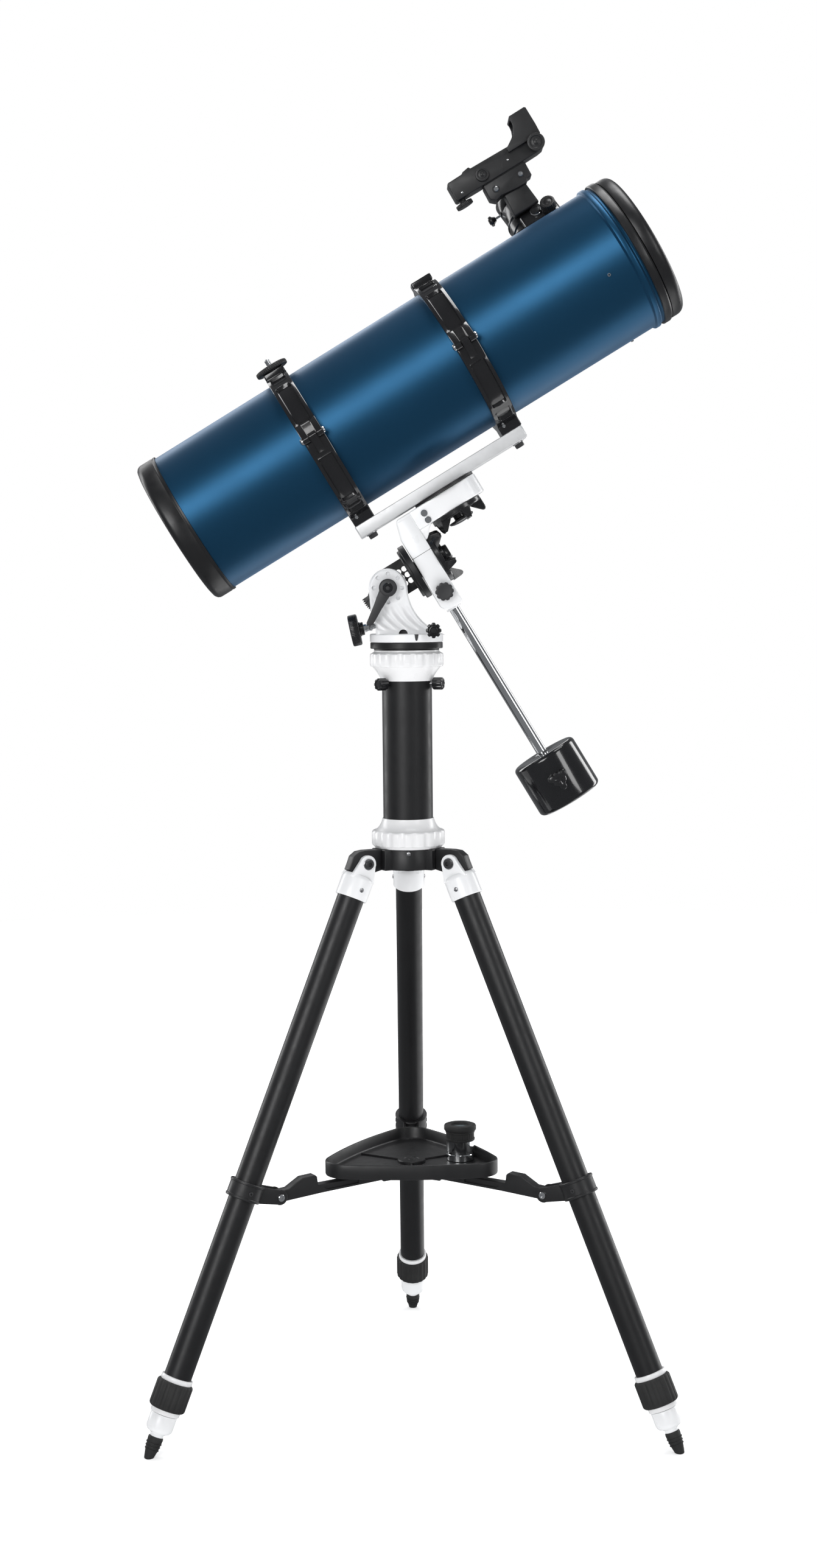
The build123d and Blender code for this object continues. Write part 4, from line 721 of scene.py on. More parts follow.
# ---------------------------------------------------------------- counterweight
def build_weight():
    low, high = -310.0, -248.5
    profile = [(6.05, 0), (33, 0)] + [(33 + 5 * sin(radians(a)), 5 - 5 * cos(radians(a))) for a in range(15,
        91, 15)]
    profile += [(38.0, 56.5)] + [(33 + 5 * cos(radians(a)), 56.5 + 5 * sin(radians(a))) for a in range(15, 91,
        15)]
    profile += [(14, 61.5), (12.5, 60.7), (8, 60.7), (6.05, 61.5)]
    turned("counterweight_body", head(SHAFT_ALONG, low), UP, profile, GLOSS_BLACK, "weight", "counterweight",
        144, ring=True)
    middle = head(SHAFT_ALONG, (low + high) / 2, -38.0)
    turned("weight_screw_seat", middle + BACK * 1.6, FRONT, [(4.2, 0), (7.5, 0), (7.5, 1.8), (6.9, 2.2),
        (4.2, 2.2)], GLOSS_BLACK, "weight", count=40, ring=True)
    rod("weight_screw_shank", middle + BACK * 28, FRONT, 4.0, 29, STEEL, "weight_lock")

    def lobes(a, h, r):
        return r * (0.62 + 0.38 * max(0.0, cos(3 * (a - radians(30)))) ** 0.8) if r > 4 else r

    grip = [(0, 0.3), (11, 0.3), (12.6, 1.2), (13, 2.6), (13, 6.6), (12.4, 8.2), (11, 9.2), (5, 9.2),
        (4.2, 8.6)]
    turned("weight_screw_grip", middle, FRONT, grip + [(0, 8.6)], GLOSS_PLASTIC, "weight_lock",
        "weight_screw", 108, shape=lobes, x_dir=ALONG, smooth=45)


# ---------------------------------------------------------------- mount base
BOSS_R = 21.5


def arc_edge(z):
    """x of the cheeks' right-hand edge at a height: the curve from the round head down to the disc."""
    if z >= PIVOT_Z:
        return PIVOT_X + (max(0.0, BOSS_R ** 2 - (z - PIVOT_Z) ** 2)) ** 0.5
    cx, cz, radius = 58.9, 936.6, 57.5
    drop = cz - z
    if z > 886:
        return cx - (radius ** 2 - min(drop, radius) ** 2) ** 0.5
    return 31.0 + (886 - z) * 2.2


def left_edge(z):
    if z >= PIVOT_Z:
        return PIVOT_X - (max(0.0, BOSS_R ** 2 - (z - PIVOT_Z) ** 2)) ** 0.5
    if z >= 908:
        return -41.5 + 2.0 * (PIVOT_Z - z) / 25.3
    if z >= 893:
        return -39.5 + 5.5 * (908 - z) / 15
    return -34.0


def cheek_depth(x, z):
    """Distance of the cheeks' face from the middle: a round boss over flutes that sweep to the base."""
    depth = 19.0
    low = smooth_step((912 - z) / 30)
    depth += 8.0 * low ** 1.6
    edge = arc_edge(z) - x
    window = smooth_step((919 - z) / 9) * smooth_step((z - 884) / 8) * smooth_step(edge / 4)
    depth += window * (1.25 * cos(2 * pi * (edge - 2.0) / 12.4) - 0.6)
    from_pivot = hypot(x - PIVOT_X, z - PIVOT_Z)
    depth += 0.8 * smooth_step((21.0 - from_pivot) / 2.5) - 0.4
    border = min(edge, x - left_edge(z))
    depth -= 1.8 * (1 - smooth_step(border / 2.6)) ** 2
    return depth


def build_base():
    disc = [(0, 0), (40.2, 0), (41, 0.7), (41, 8.2), (40.4, 9.0), (39.4, 9.3), (0, 9.3)]
    turned("azimuth_disc", Vector((0, 0, 873.0)), TOP, disc, WHITE, "azimuth_head", "mount_base", 160)
    rod("azimuth_spigot", Vector((0, 0, 856)), TOP, 20, 18, STEEL, "azimuth_head")
    heights = [880.5 + 1.05 * i for i in range(62)] + [945.6 + 0.75 * i for i in range(11)] + [953.6, 954.1,
        954.5, 954.75]
    columns = 72
    loops = []
    for z in heights:
        left, right = left_edge(z), arc_edge(z)
        row = []
        for side in (-1, 1):
            for i in range(columns + 1):
                t = i / columns if side < 0 else 1 - i / columns
                t = 0.5 - 0.5 * cos(pi * t)
                x = left + (right - left) * t
                depth = cheek_depth(x, z)
                limit = (max(1.0, 40.6 ** 2 - x * x)) ** 0.5 if z < 893 else 99.0
                row.append(Vector((x, side * min(depth, limit), z)))
        loops.append(row)
    bm = bmesh.new()
    loft(bm, loops)
    obj = piece("mount_cheeks", bm, WHITE, "azimuth_head", smooth=50)
    slot = prism(bmesh.new(), place_matrix((0, 0, 0), RIGHT, TOP), [(-70, -6.3), (60, -6.3), (60, 6.3),
        (-70, 6.3)], 899, 970)
    carve(obj, slot)
    drill(obj, place_matrix((-3.5, -60, 882.2), RIGHT, BACK), 5.0, 0, 42, 40)
    worm_axis = Vector((cos(radians(12)), 0, sin(radians(12))))
    worm_seat = Vector((-55, 0, 887))
    drill(obj, place_matrix(worm_seat, BACK, worm_axis), 6.4, 10, 54, 40)
    dimples = bmesh.new()
    well = [(0, 16.6), (1.7, 16.6), (2.35, 17.4), (2.6, 22), (0, 22)]
    for k in range(8):
        a = radians(45 * k)
        centre = Vector((PIVOT_X + 15.6 * cos(a), 0, PIVOT_Z + 15.6 * sin(a)))
        for side in (FRONT, BACK):
            lathe(dimples, place_matrix(centre, RIGHT, side), well, 32)
    carve(obj, dimples)
    shade(obj, 50)
    turned("base_socket_shade", Vector((-3.5, -17.5, 882.4)), FRONT, [(0, 0), (4.9, 0), (4.9, 0.6), (0, 0.6)],
        GREY_PLASTIC, "azimuth_head", count=40)
    pointer = place_matrix(Vector((11.0, -39.4, 0)), RIGHT, FRONT)
    block("azimuth_pointer", pointer, [(-2.4, 881.9), (2.4, 881.9), (1.1, 875.4), (0, 874.6), (-1.1, 875.4)],
        -0.6, 0.6, GREY_PLASTIC, "azimuth_head", bevel=0.2)
    lock = Vector((30, 0, 886))
    turned("lock_boss", lock + FRONT * 18, FRONT, [(2.6, 0), (6.6, 0), (6.1, 12), (5.9, 17.5), (5.3, 18),
        (2.6, 18)], WHITE, "azimuth_head", count=48, ring=True)
    knob("azimuth_lock_knob", lock + FRONT * 36.2, FRONT, 8.6, 9.6, 8, 1.7, GLOSS_PLASTIC, "azimuth_lock",
        "azimuth_knob", hub=3.6, edge=1.4, dish=1.2, x_dir=RIGHT)
    rod("azimuth_lock_stud", lock + FRONT * 13.8, FRONT, 2.5, 26, STEEL, "azimuth_lock")

    nut = arc_points(0, 0, 8, 0, 300, 5)
    block("axle_nut", place_matrix(PIVOT + BACK * 19.3, RIGHT, BACK), nut, 0.2, 5.4, STEEL, "azimuth_head",
        "latitude_axle", bevel=0.6)
    rod("axle_pin", PIVOT + BACK * 18.5, FRONT, 4.95, 50.0, STEEL, "azimuth_head")

    hub_profile = [(5.05, 0), (9.2, 0), (10, 0.8), (10, 12.4), (9.3, 13.4), (8.2, 13.9), (5.6, 13.9),
        (5.05, 13.2)]
    turned("lever_hub", PIVOT + FRONT * 19.3, FRONT, hub_profile, GREY_PLASTIC, "lever", "lock_lever", 72,
        ring=True)
    arm = [(-9.3, -2.0), (-16.4, -20.5), (-24.0, -38.4), (-23.9, -39.9), (-22.6, -41.2), (-18.6, -41.7),
        (-17.2, -41.0), (-16.2, -39.4), (-7.8, -24.6), (2.4, -8.6), (4, 0), (0, 3)]
    block("lever_arm", place_matrix(PIVOT + FRONT * 19.3, RIGHT, FRONT), arm, 7.7, 13.4, GREY_PLASTIC,
        "lever", bevel=1.6, segments=4)
    socket_screw("lever_screw", PIVOT + FRONT * 31.0, FRONT, 5.6, 2.6, GLOSS_BLACK, "lever", hex_r=2.9)
    dome("lever_screw_point", PIVOT + FRONT * 31.6, FRONT, 1.2, 1.0, CHROME, "lever")

    knob("altitude_knob_grip", worm_seat - worm_axis * 8, worm_axis, 17.6, 10.4, 60, 0.22, GLOSS_PLASTIC,
        "altitude_screw", "altitude_knob", edge=1.5, dish=0.0, x_dir=BACK)
    turned("altitude_knob_collar", worm_seat + worm_axis * 2.3, worm_axis, [(0, 0), (8.2, 0), (8.2, 1.2),
        (7.4, 1.8), (7.4, 4.6), (6.8, 5.2), (0, 5.2)], GLOSS_PLASTIC, "altitude_screw", count=60)
    turned("altitude_shaft", worm_seat + worm_axis * 7.4, worm_axis, [(0, 0), (4.6, 0), (4.6, 3.0),
        (3.9, 3.6), (3.9, 6.4), (4.4, 7.0), (4.4, 9.0), (3.0, 9.6), (3.0, 46), (0, 46)], CHROME,
        "altitude_screw", count=48)
    worm = [(0, 21.5)]
    for turn in range(14):
        worm += [(4.4, 21.5 + turn * 2.2), (5.85, 22.3 + turn * 2.2), (5.85, 22.7 + turn * 2.2),
            (4.4, 23.5 + turn * 2.2)]
    turned("altitude_worm", worm_seat, worm_axis, worm + [(0, 52.4)], STEEL, "altitude_screw", count=40)


build_bar()
build_head()
build_weight()
build_base()


# ---------------------------------------------------------------- pillar, collars and tripod hub
def bites(count, bite_r, bite_out, radius):
    """Radius of a disc with round bites out of its edge."""
    def shape(a, h, r):
        if r < radius - 1.4:
            return r
        offset = (a + pi / count) % (2 * pi / count) - pi / count
        reach = bite_out * sin(offset)
        if abs(reach) >= bite_r:
            return r
        return min(r, bite_out * cos(offset) - (bite_r ** 2 - reach ** 2) ** 0.5 - (radius - r))
    return shape


def build_pillar():
    skin = [(25, 642), (28, 642), (28, 863.9), (25, 863.9)]
    turned("pillar_tube", Vector(), TOP, skin, POWDER, "stand", "pillar", 120, ring=True)
    plate = [(20.05, 864), (36.2, 864), (36.6, 864.4), (36.6, 865.8), (40.0, 865.8), (40.6, 866.4),
        (40.6, 872.0), (40.0, 872.65), (20.05, 872.65)]
    turned("pillar_top_plate", Vector(), TOP, plate, POWDER, "stand", count=160, ring=True)
    scallop = bites(18, 8.0, 48.2, 41.4)
    base = [(28.05, 642.1), (37.4, 642.1), (38.0, 642.6), (40.4, 645.2), (28.05, 645.2)]
    grip = [(28.05, 645.0), (39.8, 645.0), (40.9, 645.5), (41.4, 646.5), (41.4, 659.2), (40.9, 660.5),
        (39.6, 661.4), (38.4, 661.8), (28.05, 661.8)]
    flare = [(28.05, 661.2), (38.4, 661.2), (36.2, 662.4), (34.0, 664.4), (32.0, 667.0), (30.4, 670.2),
        (29.3, 673.6), (28.9, 675), (28.05, 675)]
    for name, profile, shape in (("skirt", base, None), ("grip", grip, scallop), ("flare", flare, None)):
        turned(f"lower_collar_{name}", Vector(), TOP, profile, WHITE_PLASTIC, "stand",
            "pillar_collars" if name == "grip" else None, 216, ring=True, shape=shape, x_dir=RIGHT)
    flare = [(28.05, 829.6), (28.8, 829.6), (29.6, 832), (31.2, 835.6), (33.6, 839.6), (36.4, 843.2),
        (38.6, 845.9), (28.05, 845.9)]
    grip = [(28.05, 845.4), (38.6, 845.4), (40.6, 846.2), (41.4, 847.4), (41.4, 859.0), (40.9, 860.0),
        (39.8, 860.5), (28.05, 860.5)]
    neck = [(28.05, 860.2), (39.2, 860.2), (38.6, 861.2), (36.8, 862.2), (36.4, 863.9), (28.05, 863.9)]
    for name, profile, shape in (("flare", flare, None), ("grip", grip, scallop), ("neck", neck, None)):
        turned(f"upper_collar_{name}", Vector(), TOP, profile, WHITE_PLASTIC, "stand", None, 216, ring=True,
            shape=shape, x_dir=RIGHT)
    for k, azimuth in enumerate((220.5, 340.5, 100.5), start=1):
        a = radians(azimuth)
        out = Vector((cos(a), sin(a), 0))
        at = Vector((0, 0, 826.5))
        knob(f"pillar_screw_knob_{k}", at + out * 31, out, 6.9, 12, 8, 1.0, GLOSS_PLASTIC, "stand",
            "pillar_thumbscrews" if k == 1 else None, edge=1.4, x_dir=TOP)
        rod(f"pillar_screw_stem_{k}", at + out * 27, out, 2.5, 5, STEEL, "stand")


LEG_TILT_DEG = 23.5
LEG_TILT = radians(LEG_TILT_DEG)
LEG_PIVOT_R = 58.6
LEG_PIVOT_Z = 627.0
LEG_LENGTH = LEG_PIVOT_Z / cos(LEG_TILT)
FOOT_R = LEG_PIVOT_R + LEG_PIVOT_Z * tan(LEG_TILT)
COLLAR_DOWN = 381.7
LUG_R, LUG_Z = 172, 265
LEGS = ((1, radians(210)), (2, radians(330)), (3, radians(90)))


def leg_directions(azimuth):
    radial = Vector((cos(azimuth), sin(azimuth), 0))
    tangent = Vector((-sin(azimuth), cos(azimuth), 0))
    upward = radial * -sin(LEG_TILT) + TOP * cos(LEG_TILT)
    return radial, tangent, upward


def leg_view(azimuth):
    """Local x outward from the tripod's axis, y up, z across the leg."""
    radial, tangent, _ = leg_directions(azimuth)
    return place_matrix((0, 0, 0), radial, -tangent)


def leg_point(down, out):
    return (LEG_PIVOT_R + down * sin(LEG_TILT) + out * cos(LEG_TILT), LEG_PIVOT_Z - down * cos(LEG_TILT)
        + out * sin(LEG_TILT))


def build_hub():
    ring = [(12, 618.6), (33.2, 618.6), (34, 619.6), (34, 640.6), (33.4, 641.6), (32.4, 642), (12, 642)]
    turned("hub_ring", Vector(), TOP, ring, POWDER, "stand", "hub", 128, ring=True)
    for k, azimuth in LEGS:
        tongue = [(30, 620.5), (30, 641.9), (LEG_PIVOT_R, 641.9), (LEG_PIVOT_R + 8, 640.9),
            (LEG_PIVOT_R + 15, 636), leg_point(4, 17), leg_point(13.6, 17), leg_point(13.6, 9),
            leg_point(12, 0), leg_point(10, -8)]
        block(f"hub_tongue_{k}", leg_view(azimuth), tongue, -6.5, 6.5, POWDER, "stand", bevel=1.0)
        radial, tangent, _ = leg_directions(azimuth)
        for side in (-1, 1):
            at = place_matrix(radial * 30 + tangent * (11 * side) + TOP * 618.6, radial, TOP)
            block(f"hub_rib_{k}_{side + 1}", at, rounded_box(9, 4.4, 1.5, 4), 0, 23.2, POWDER, "stand",
                bevel=0.9)
        spot = radial * -33.2 + TOP * 637.4
        dome(f"hub_screw_{k}", spot, -radial, 2.6, 1.8, STEEL, "stand")


# ---------------------------------------------------------------- legs
def build_leg(k, azimuth):
    radial, tangent, upward = leg_directions(azimuth)
    foot = radial * FOOT_R
    body = f"leg_{k}"
    view = leg_view(azimuth)
    ear = arc_points(*leg_point(0, 0), 10, LEG_TILT_DEG, LEG_TILT_DEG + 180, 12) + [leg_point(13, -13.2),
        leg_point(19, -15.5), leg_point(19, 15.5), leg_point(13, 13.2)]
    for side in (-1, 1):
        low, high = sorted((side * 6.85, side * 12.8))
        replaced = f"leg_top_{k}" if side > 0 else None
        block(f"leg_ear_{k}_{side + 1}", view, ear, low, high, WHITE, body, replaced, bevel=1.3, segments=4)
        axis = -tangent * side
        centre = radial * LEG_PIVOT_R + TOP * LEG_PIVOT_Z
        turned(f"leg_bolt_washer_{k}_{side + 1}", centre + axis * 12.7, axis, [(0, 0), (6.4, 0), (6.4, 0.7),
            (6.0, 1.0), (0, 1.0)], STEEL, body, count=40)
        socket_screw(f"leg_bolt_{k}_{side + 1}", centre + axis * 13.5, axis, 5.0, 3.0, GREY_PLASTIC, body,
            hex_r=2.6)
    rod(f"leg_pin_{k}", radial * LEG_PIVOT_R + TOP * LEG_PIVOT_Z - tangent * 13, tangent, 3.95, 26, STEEL,
        body)
    socket_low = LEG_LENGTH - 41
    socket = [(15.3, 0), (17.4, 0), (18, 0.8), (18, 21.5), (17.2, 24.4), (15.4, 26.6), (12.5, 27), (0, 27),
        (0, 24.5), (15.3, 24.5)]
    turned(f"leg_socket_{k}", foot + upward * socket_low, upward, socket, WHITE, body, ring=True)
    for side in (-1, 1):
        axis = -tangent * side
        dome(f"leg_rivet_{k}_{side + 1}", foot + upward * (socket_low + 11) + axis * 17.6, axis, 2.6, 1.6,
            STEEL, body)

    tube = [(13.7, 85.4), (16.8, 85.4), (17.2, 85.9), (17.2, 89.8), (16.8, 90.3), (15.2, 90.3),
        (15.2, socket_low + 24), (13.7, socket_low + 24)]
    turned(f"leg_outer_tube_{k}", foot, upward, tube, POWDER, body, f"leg_tube_{k}", 96, ring=True)
    turned(f"leg_end_ring_{k}", foot, upward, [(15.2, 85.2), (17.2, 85.2), (17.5, 85.7), (17.5, 90),
        (17.1, 90.6), (15.2, 90.6)], WHITE_PLASTIC, body, ring=True)
    collar_mid = LEG_LENGTH - COLLAR_DOWN
    collar = [(15.15, -9.75), (18.9, -9.75), (19.6, -9.0), (19.6, -7.2), (18.9, -6.6), (18.9, 6.6),
        (19.6, 7.2), (19.6, 9.0), (18.9, 9.75), (15.15, 9.75)]
    turned(f"leg_collar_{k}", foot + upward * collar_mid, upward, collar, PLASTIC, body, ring=True)
    for side in (-1, 1):
        low, high = sorted((side * 6.35, side * 9.8))
        lug = arc_points(LUG_R, LUG_Z, 8.5, -60, -275, 14)
        lug += [leg_point(COLLAR_DOWN - 9.4, -15.2), leg_point(COLLAR_DOWN + 9.4, -15.2)]
        block(f"leg_lug_{k}_{side + 1}", view, lug, low, high, PLASTIC, body, bevel=0.8)
        axis = -tangent * side
        at = radial * LUG_R + TOP * LUG_Z
        socket_screw(f"leg_lug_bolt_{k}_{side + 1}", at + axis * 9.9, axis, 3.9, 2.4, CHROME, body)
        socket_screw(f"leg_collar_screw_{k}_{side + 1}", foot + upward * collar_mid + axis * 18.4
            + radial * 2, axis, 2.4, 1.2, GREY_PLASTIC, body)

    grip_body = f"twist_lock_{k}"

    def ribs(a, h, r):
        return r - (0.75 * max(0.0, -cos(20 * a)) ** 0.7 if r > 19.0 else 0.0)

    grip = [(12.95, 0), (18.2, 0), (19.5, 1.0), (20.2, 2.6), (20.2, 27.6), (19.6, 29.1), (18.4, 30),
        (12.95, 30)]
    turned(f"twist_grip_{k}", foot + upward * 55, upward, grip, RUBBER, grip_body, f"leg_lock_{k}", 200,
        ring=True, shape=ribs, smooth=45)
    ring = [(12.95, 49.7), (15.6, 49.7), (16.2, 50.3), (16.2, 54.6), (15.8, 55), (12.95, 55)]
    turned(f"twist_ring_{k}", foot, upward, ring, WHITE_PLASTIC, grip_body, ring=True)

    slide = f"extension_{k}"
    stem = [(11.1, 50), (12.6, 50), (12.6, LEG_LENGTH - 60), (11.1, LEG_LENGTH - 60)]
    turned(f"extension_tube_{k}", foot, upward, stem, ANODISED, slide, f"leg_extension_{k}", 72, ring=True)
    casting = [(0, 24.2), (7.3, 24.2), (7.6, 27.2), (9.6, 28.4), (12.4, 29.8), (14.2, 32.2), (14.75, 35),
        (14.75, 48.2), (14.2, 49), (0, 49)]
    turned(f"foot_casting_{k}", foot, upward, casting, WHITE, slide, count=72)
    tip = [(0, -3), (2.4, -2.4), (4.7, -0.9), (5.9, 4), (7.4, 11), (8.2, 18.8), (8.5, 21.6), (8.2, 23.4),
        (7.4, 24.3), (0, 24.3)]
    bm = lathe(bmesh.new(), place_matrix(foot, tangent, upward), tip, 72)
    for low, high in ((9.5, 10.3), (13.0, 13.8), (16.5, 17.3)):
        lathe(bm, place_matrix(foot, tangent, upward), [(6.0, low - 0.4), (low * 0.115 + 6.75, low),
            (high * 0.115 + 6.75, high), (6.0, high + 0.4)], 72)
    below = bmesh.ops.bisect_plane(bm, geom=bm.verts[:] + bm.edges[:] + bm.faces[:], plane_co=(0, 0, 0.02),
        plane_no=(0, 0, -1), clear_outer=True)
    edges = [e for e in below["geom_cut"] if isinstance(e, bmesh.types.BMEdge)]
    bmesh.ops.holes_fill(bm, edges=edges, sides=0)
    piece(f"foot_tip_{k}", bm, RUBBER, slide)

    brace = f"brace_{k}"
    arm = arc_points(LUG_R, LUG_Z, 6.5, -100, 80, 10) + [(160, 272.4), (151, 277.6), (143, 282.2),
        (127, 283.2), (124.6, 281)]
    arm += [(123.4, 271.4), (34, 274), (34, 265.5), (118, 262)]
    obj = block(f"arm_body_{k}", view, arm, -6, 6, PLASTIC, brace, f"spreader_arm_{k}", bevel=0.9)
    for side in (-1, 1):
        recess = prism(bmesh.new(), view, [(72, 266.4), (112, 264.9), (116, 267), (114, 269.4), (72, 270.7)],
            *sorted((side * 4.6, side * 7)))
        carve(obj, recess)
    fork = prism(bmesh.new(), view, [(20, 250), (68, 250), (68, 290), (20, 290)], -3.2, 3.2)
    carve(obj, fork)
    shade(obj, 35)
    for side in (-1, 1):
        axis = -tangent * side
        at = radial * 40 + TOP * 269.4
        dome(f"arm_rivet_{k}_{side + 1}", at + axis * 5.9, axis, 2.4, 1.2, STEEL, brace)


# ---------------------------------------------------------------- tray and eyepiece
def arc_three(p, q, r, steps):
    """Points on the arc from p through q to r, without r."""
    ax, ay, bx, by, cx, cy = *p, *q, *r
    d = 2 * (ax * (by - cy) + bx * (cy - ay) + cx * (ay - by))
    ux = ((ax * ax + ay * ay) * (by - cy) + (bx * bx + by * by) * (cy - ay) + (cx * cx + cy * cy) * (ay
        - by)) / d
    uy = ((ax * ax + ay * ay) * (cx - bx) + (bx * bx + by * by) * (ax - cx) + (cx * cx + cy * cy) * (bx
        - ax)) / d
    radius = hypot(ax - ux, ay - uy)
    start = atan2(ay - uy, ax - ux)
    middle = (atan2(by - uy, bx - ux) - start) % (2 * pi)
    sweep = (atan2(cy - uy, cx - ux) - start) % (2 * pi)
    if middle > sweep:
        sweep -= 2 * pi
    return [(ux + radius * cos(start + sweep * i / steps), uy + radius * sin(start
        + sweep * i / steps)) for i in range(steps)]


def tray_loop(inset, z):
    """The tray's outline: a triangle with round corners towards the legs and bowed sides."""
    corner_r = 26 - inset
    ends = []
    for azimuth in (330, 90, 210):
        cx, cy = 82 * cos(radians(azimuth)), 82 * sin(radians(azimuth))
        start, tip, end = ((cx + corner_r * cos(radians(azimuth + turn)), cy + corner_r * sin(radians(azimuth
            + turn))) for turn in (-48, 0, 48))
        side = ((73 - inset) * cos(radians(azimuth + 60)), (73 - inset) * sin(radians(azimuth + 60)))
        ends.append((start, tip, end, side))
    points = []
    for index, (start, tip, end, side) in enumerate(ends):
        points += arc_three(start, tip, end, 24) + arc_three(end, side, ends[(index + 1) % 3][0], 40)
    return [Vector((x, y, z)) for x, y in points]


def build_tray():
    wall = [(10, 277.0), (1.8, 277.0), (0.6, 277.5), (0, 278.8), (0, 292.6), (0.5, 293.6), (1.2, 294),
        (1.9, 293.7), (2.4, 292.9), (2.4, 281.8), (3.0, 280.4), (4.6, 279.6), (20, 279.6)]
    bm = bmesh.new()
    loft(bm, [tray_loop(inset, z) for inset, z in wall])
    piece("tray_pan", bm, PLASTIC, "accessory_tray", "tray", smooth=50)
    boss = [(0, 279.3), (16, 279.3), (16, 282.2), (15.2, 283.1), (9, 283.1), (8.4, 282.5), (3.4, 282.5),
        (3.0, 283.0), (0, 283.0)]
    turned("tray_boss", Vector(), TOP, boss, PLASTIC, "accessory_tray", count=80)
    for k in range(3):
        a = radians(30 + 120 * k)
        at = place_matrix(Vector((cos(a), sin(a), 0)) * 41 + TOP * 279.4, Vector((cos(a), sin(a), 0)), TOP)
        block(f"tray_rib_{k + 1}", at, rounded_box(26, 1.1, 1.0, 3), 0, 2.4, PLASTIC, "accessory_tray",
            bevel=0.4)


def build_eyepiece():
    foot = Vector((56, 8.5, 279.9))
    barrel = [(14.2, 0), (15.4, 0), (15.875, 0.5), (15.875, 7.0), (15.3, 7.6), (15.3, 10.4), (15.875, 11.0),
        (15.875, 22.5), (14.2, 22.5)]
    turned("eyepiece_chrome_barrel", foot, TOP, barrel, CHROME, "eyepiece", "eyepiece_barrel", 96, ring=True)
    shell = [(3.5, 22.6), (16.2, 22.6), (16.8, 23.2), (16.8, 25.2), (16.1, 25.7), (16.1, 31.4), (16.8, 31.9),
        (16.8, 33.6), (17.9, 34.3), (18.4, 35.2), (18.4, 39.2), (17.8, 40.4), (16.2, 41), (12.5, 41),
        (11.2, 40.2), (10.6, 38.6), (3.5, 38.0)]

    def grip(a, h, r):
        return r - 0.35 * max(0.0, cos(36 * a)) if 15.9 < r < 16.5 and 25.5 < h < 32 else r

    turned("eyepiece_shell", foot, TOP, shell, RUBBER, "eyepiece", "eyepiece_body", 216, ring=True,
        shape=grip, x_dir=RIGHT)
    lens = [(0, 36.6), (10.5, 36.6), (10.5, 37.6), (8, 38.5), (4, 39.0), (0, 39.15)]
    turned("eyepiece_eye_lens", foot, TOP, lens, LENS, "eyepiece", count=64, smooth=60)
    field = [(0, 3.0), (13.9, 3.0), (13.9, 4.2), (9, 3.6), (0, 3.4)]
    turned("eyepiece_field_lens", foot, TOP, field, LENS, "eyepiece", count=64, smooth=60)


build_pillar()
build_hub()
for number, azimuth in LEGS:
    build_leg(number, azimuth)
build_tray()
build_eyepiece()


# ---------------------------------------------------------------- latitude bracket and spreader centre
def build_latitude():
    """The sector gear, its web, the bearing disc and the polar shaft."""
    body = "polar_head"
    teeth = 22
    first, last = 172.0, 268.0
    step = (last - first) / teeth
    rim = []
    for k in range(teeth):
        start = first + step * k
        rim += [(30.1, start), (31.8, start + 0.3 * step), (31.8, start + 0.6 * step),
            (30.1, start + 0.9 * step)]
    plate = [(0, 21), (-8, 19.6), (-14.8, 14.8), (-19.6, 8), (-24, 4.4), (-29, 4.2)]
    plate += [(r * cos(radians(a)), r * sin(radians(a))) for r, a in rim]
    plate += [(4, -26), (9, -26), (14, -17.4), (29.6, -17.4), (29.6, 21)]
    obj = block("latitude_web", SIDE_VIEW, plate, -6, 6, POWDER, body, "latitude_bracket", bevel=0.5,
        segments=2)
    holes = [(x, y, 3.1) for x in (19.1, 26.3) for y in (8.9, 1.6, -5.9)] + [(-21.5, -12.5, 2.6),
        (0, 0, 5.05)]
    for x, y, r in holes:
        drill(obj, place_matrix(head(x, y, 20), ALONG, FRONT), r, 0, 40, 36)
    shade(obj, 32)
    disc = [(0, 28.5), (28.2, 28.5), (29, 29.2), (29, 31.3), (31.8, 31.5), (32.5, 32.2), (32.5, 37.8),
        (31.9, 38.4)]
    turned("latitude_disc", PIVOT, ALONG, disc + [(12, 38.5), (10, 38.5), (10, 69.4), (0, 69.4)], POWDER,
        body, count=144)


def build_spreader_centre():
    boss = [(0, 262), (8.4, 262), (9, 262.6), (9, 275.4), (8.4, 276), (0, 276)]
    turned("spreader_boss", Vector(), TOP, boss, PLASTIC, "spreader_centre", "spreader_hub", 48)
    for k, azimuth in LEGS:
        at = place_matrix(TOP * 262, leg_directions(azimuth)[0], TOP)
        block(f"spreader_blade_{k}", at, [(6, -2.2), (37, -2.2), (38, -1.4), (38, 1.4), (37, 2.2), (6, 2.2)],
            0.1, 13.9, PLASTIC, "spreader_centre", bevel=0.5)


def build_secondary():
    """The diagonal mirror: a glass bar cut at 45 degrees, with its coated oval face towards the focuser."""
    at = place_matrix(head(FOCUSER_ALONG, TUBE_UP), OUT, ALONG)
    bm = lathe(bmesh.new(), at, [(0, -17.9), (16.9, -17.9), (16.9, 7.8), (0, 7.8)], 96)
    normal = (OUT - ALONG).normalized()
    cut = bmesh.ops.bisect_plane(bm, geom=bm.verts[:] + bm.edges[:] + bm.faces[:],
        plane_co=head(349, TUBE_UP), plane_no=normal, clear_outer=True)
    edges = [e for e in cut["geom_cut"] if isinstance(e, bmesh.types.BMEdge)]
    bmesh.ops.holes_fill(bm, edges=edges, sides=0)
    obj = piece("diagonal", bm, [CERAMIC_GLASS, MIRROR], "tube_carriage", "secondary_mirror")
    for face in obj.data.polygons:
        if Vector(face.normal).dot(normal) > 0.98:
            face.material_index = 1


build_latitude()
build_spreader_centre()
build_secondary()


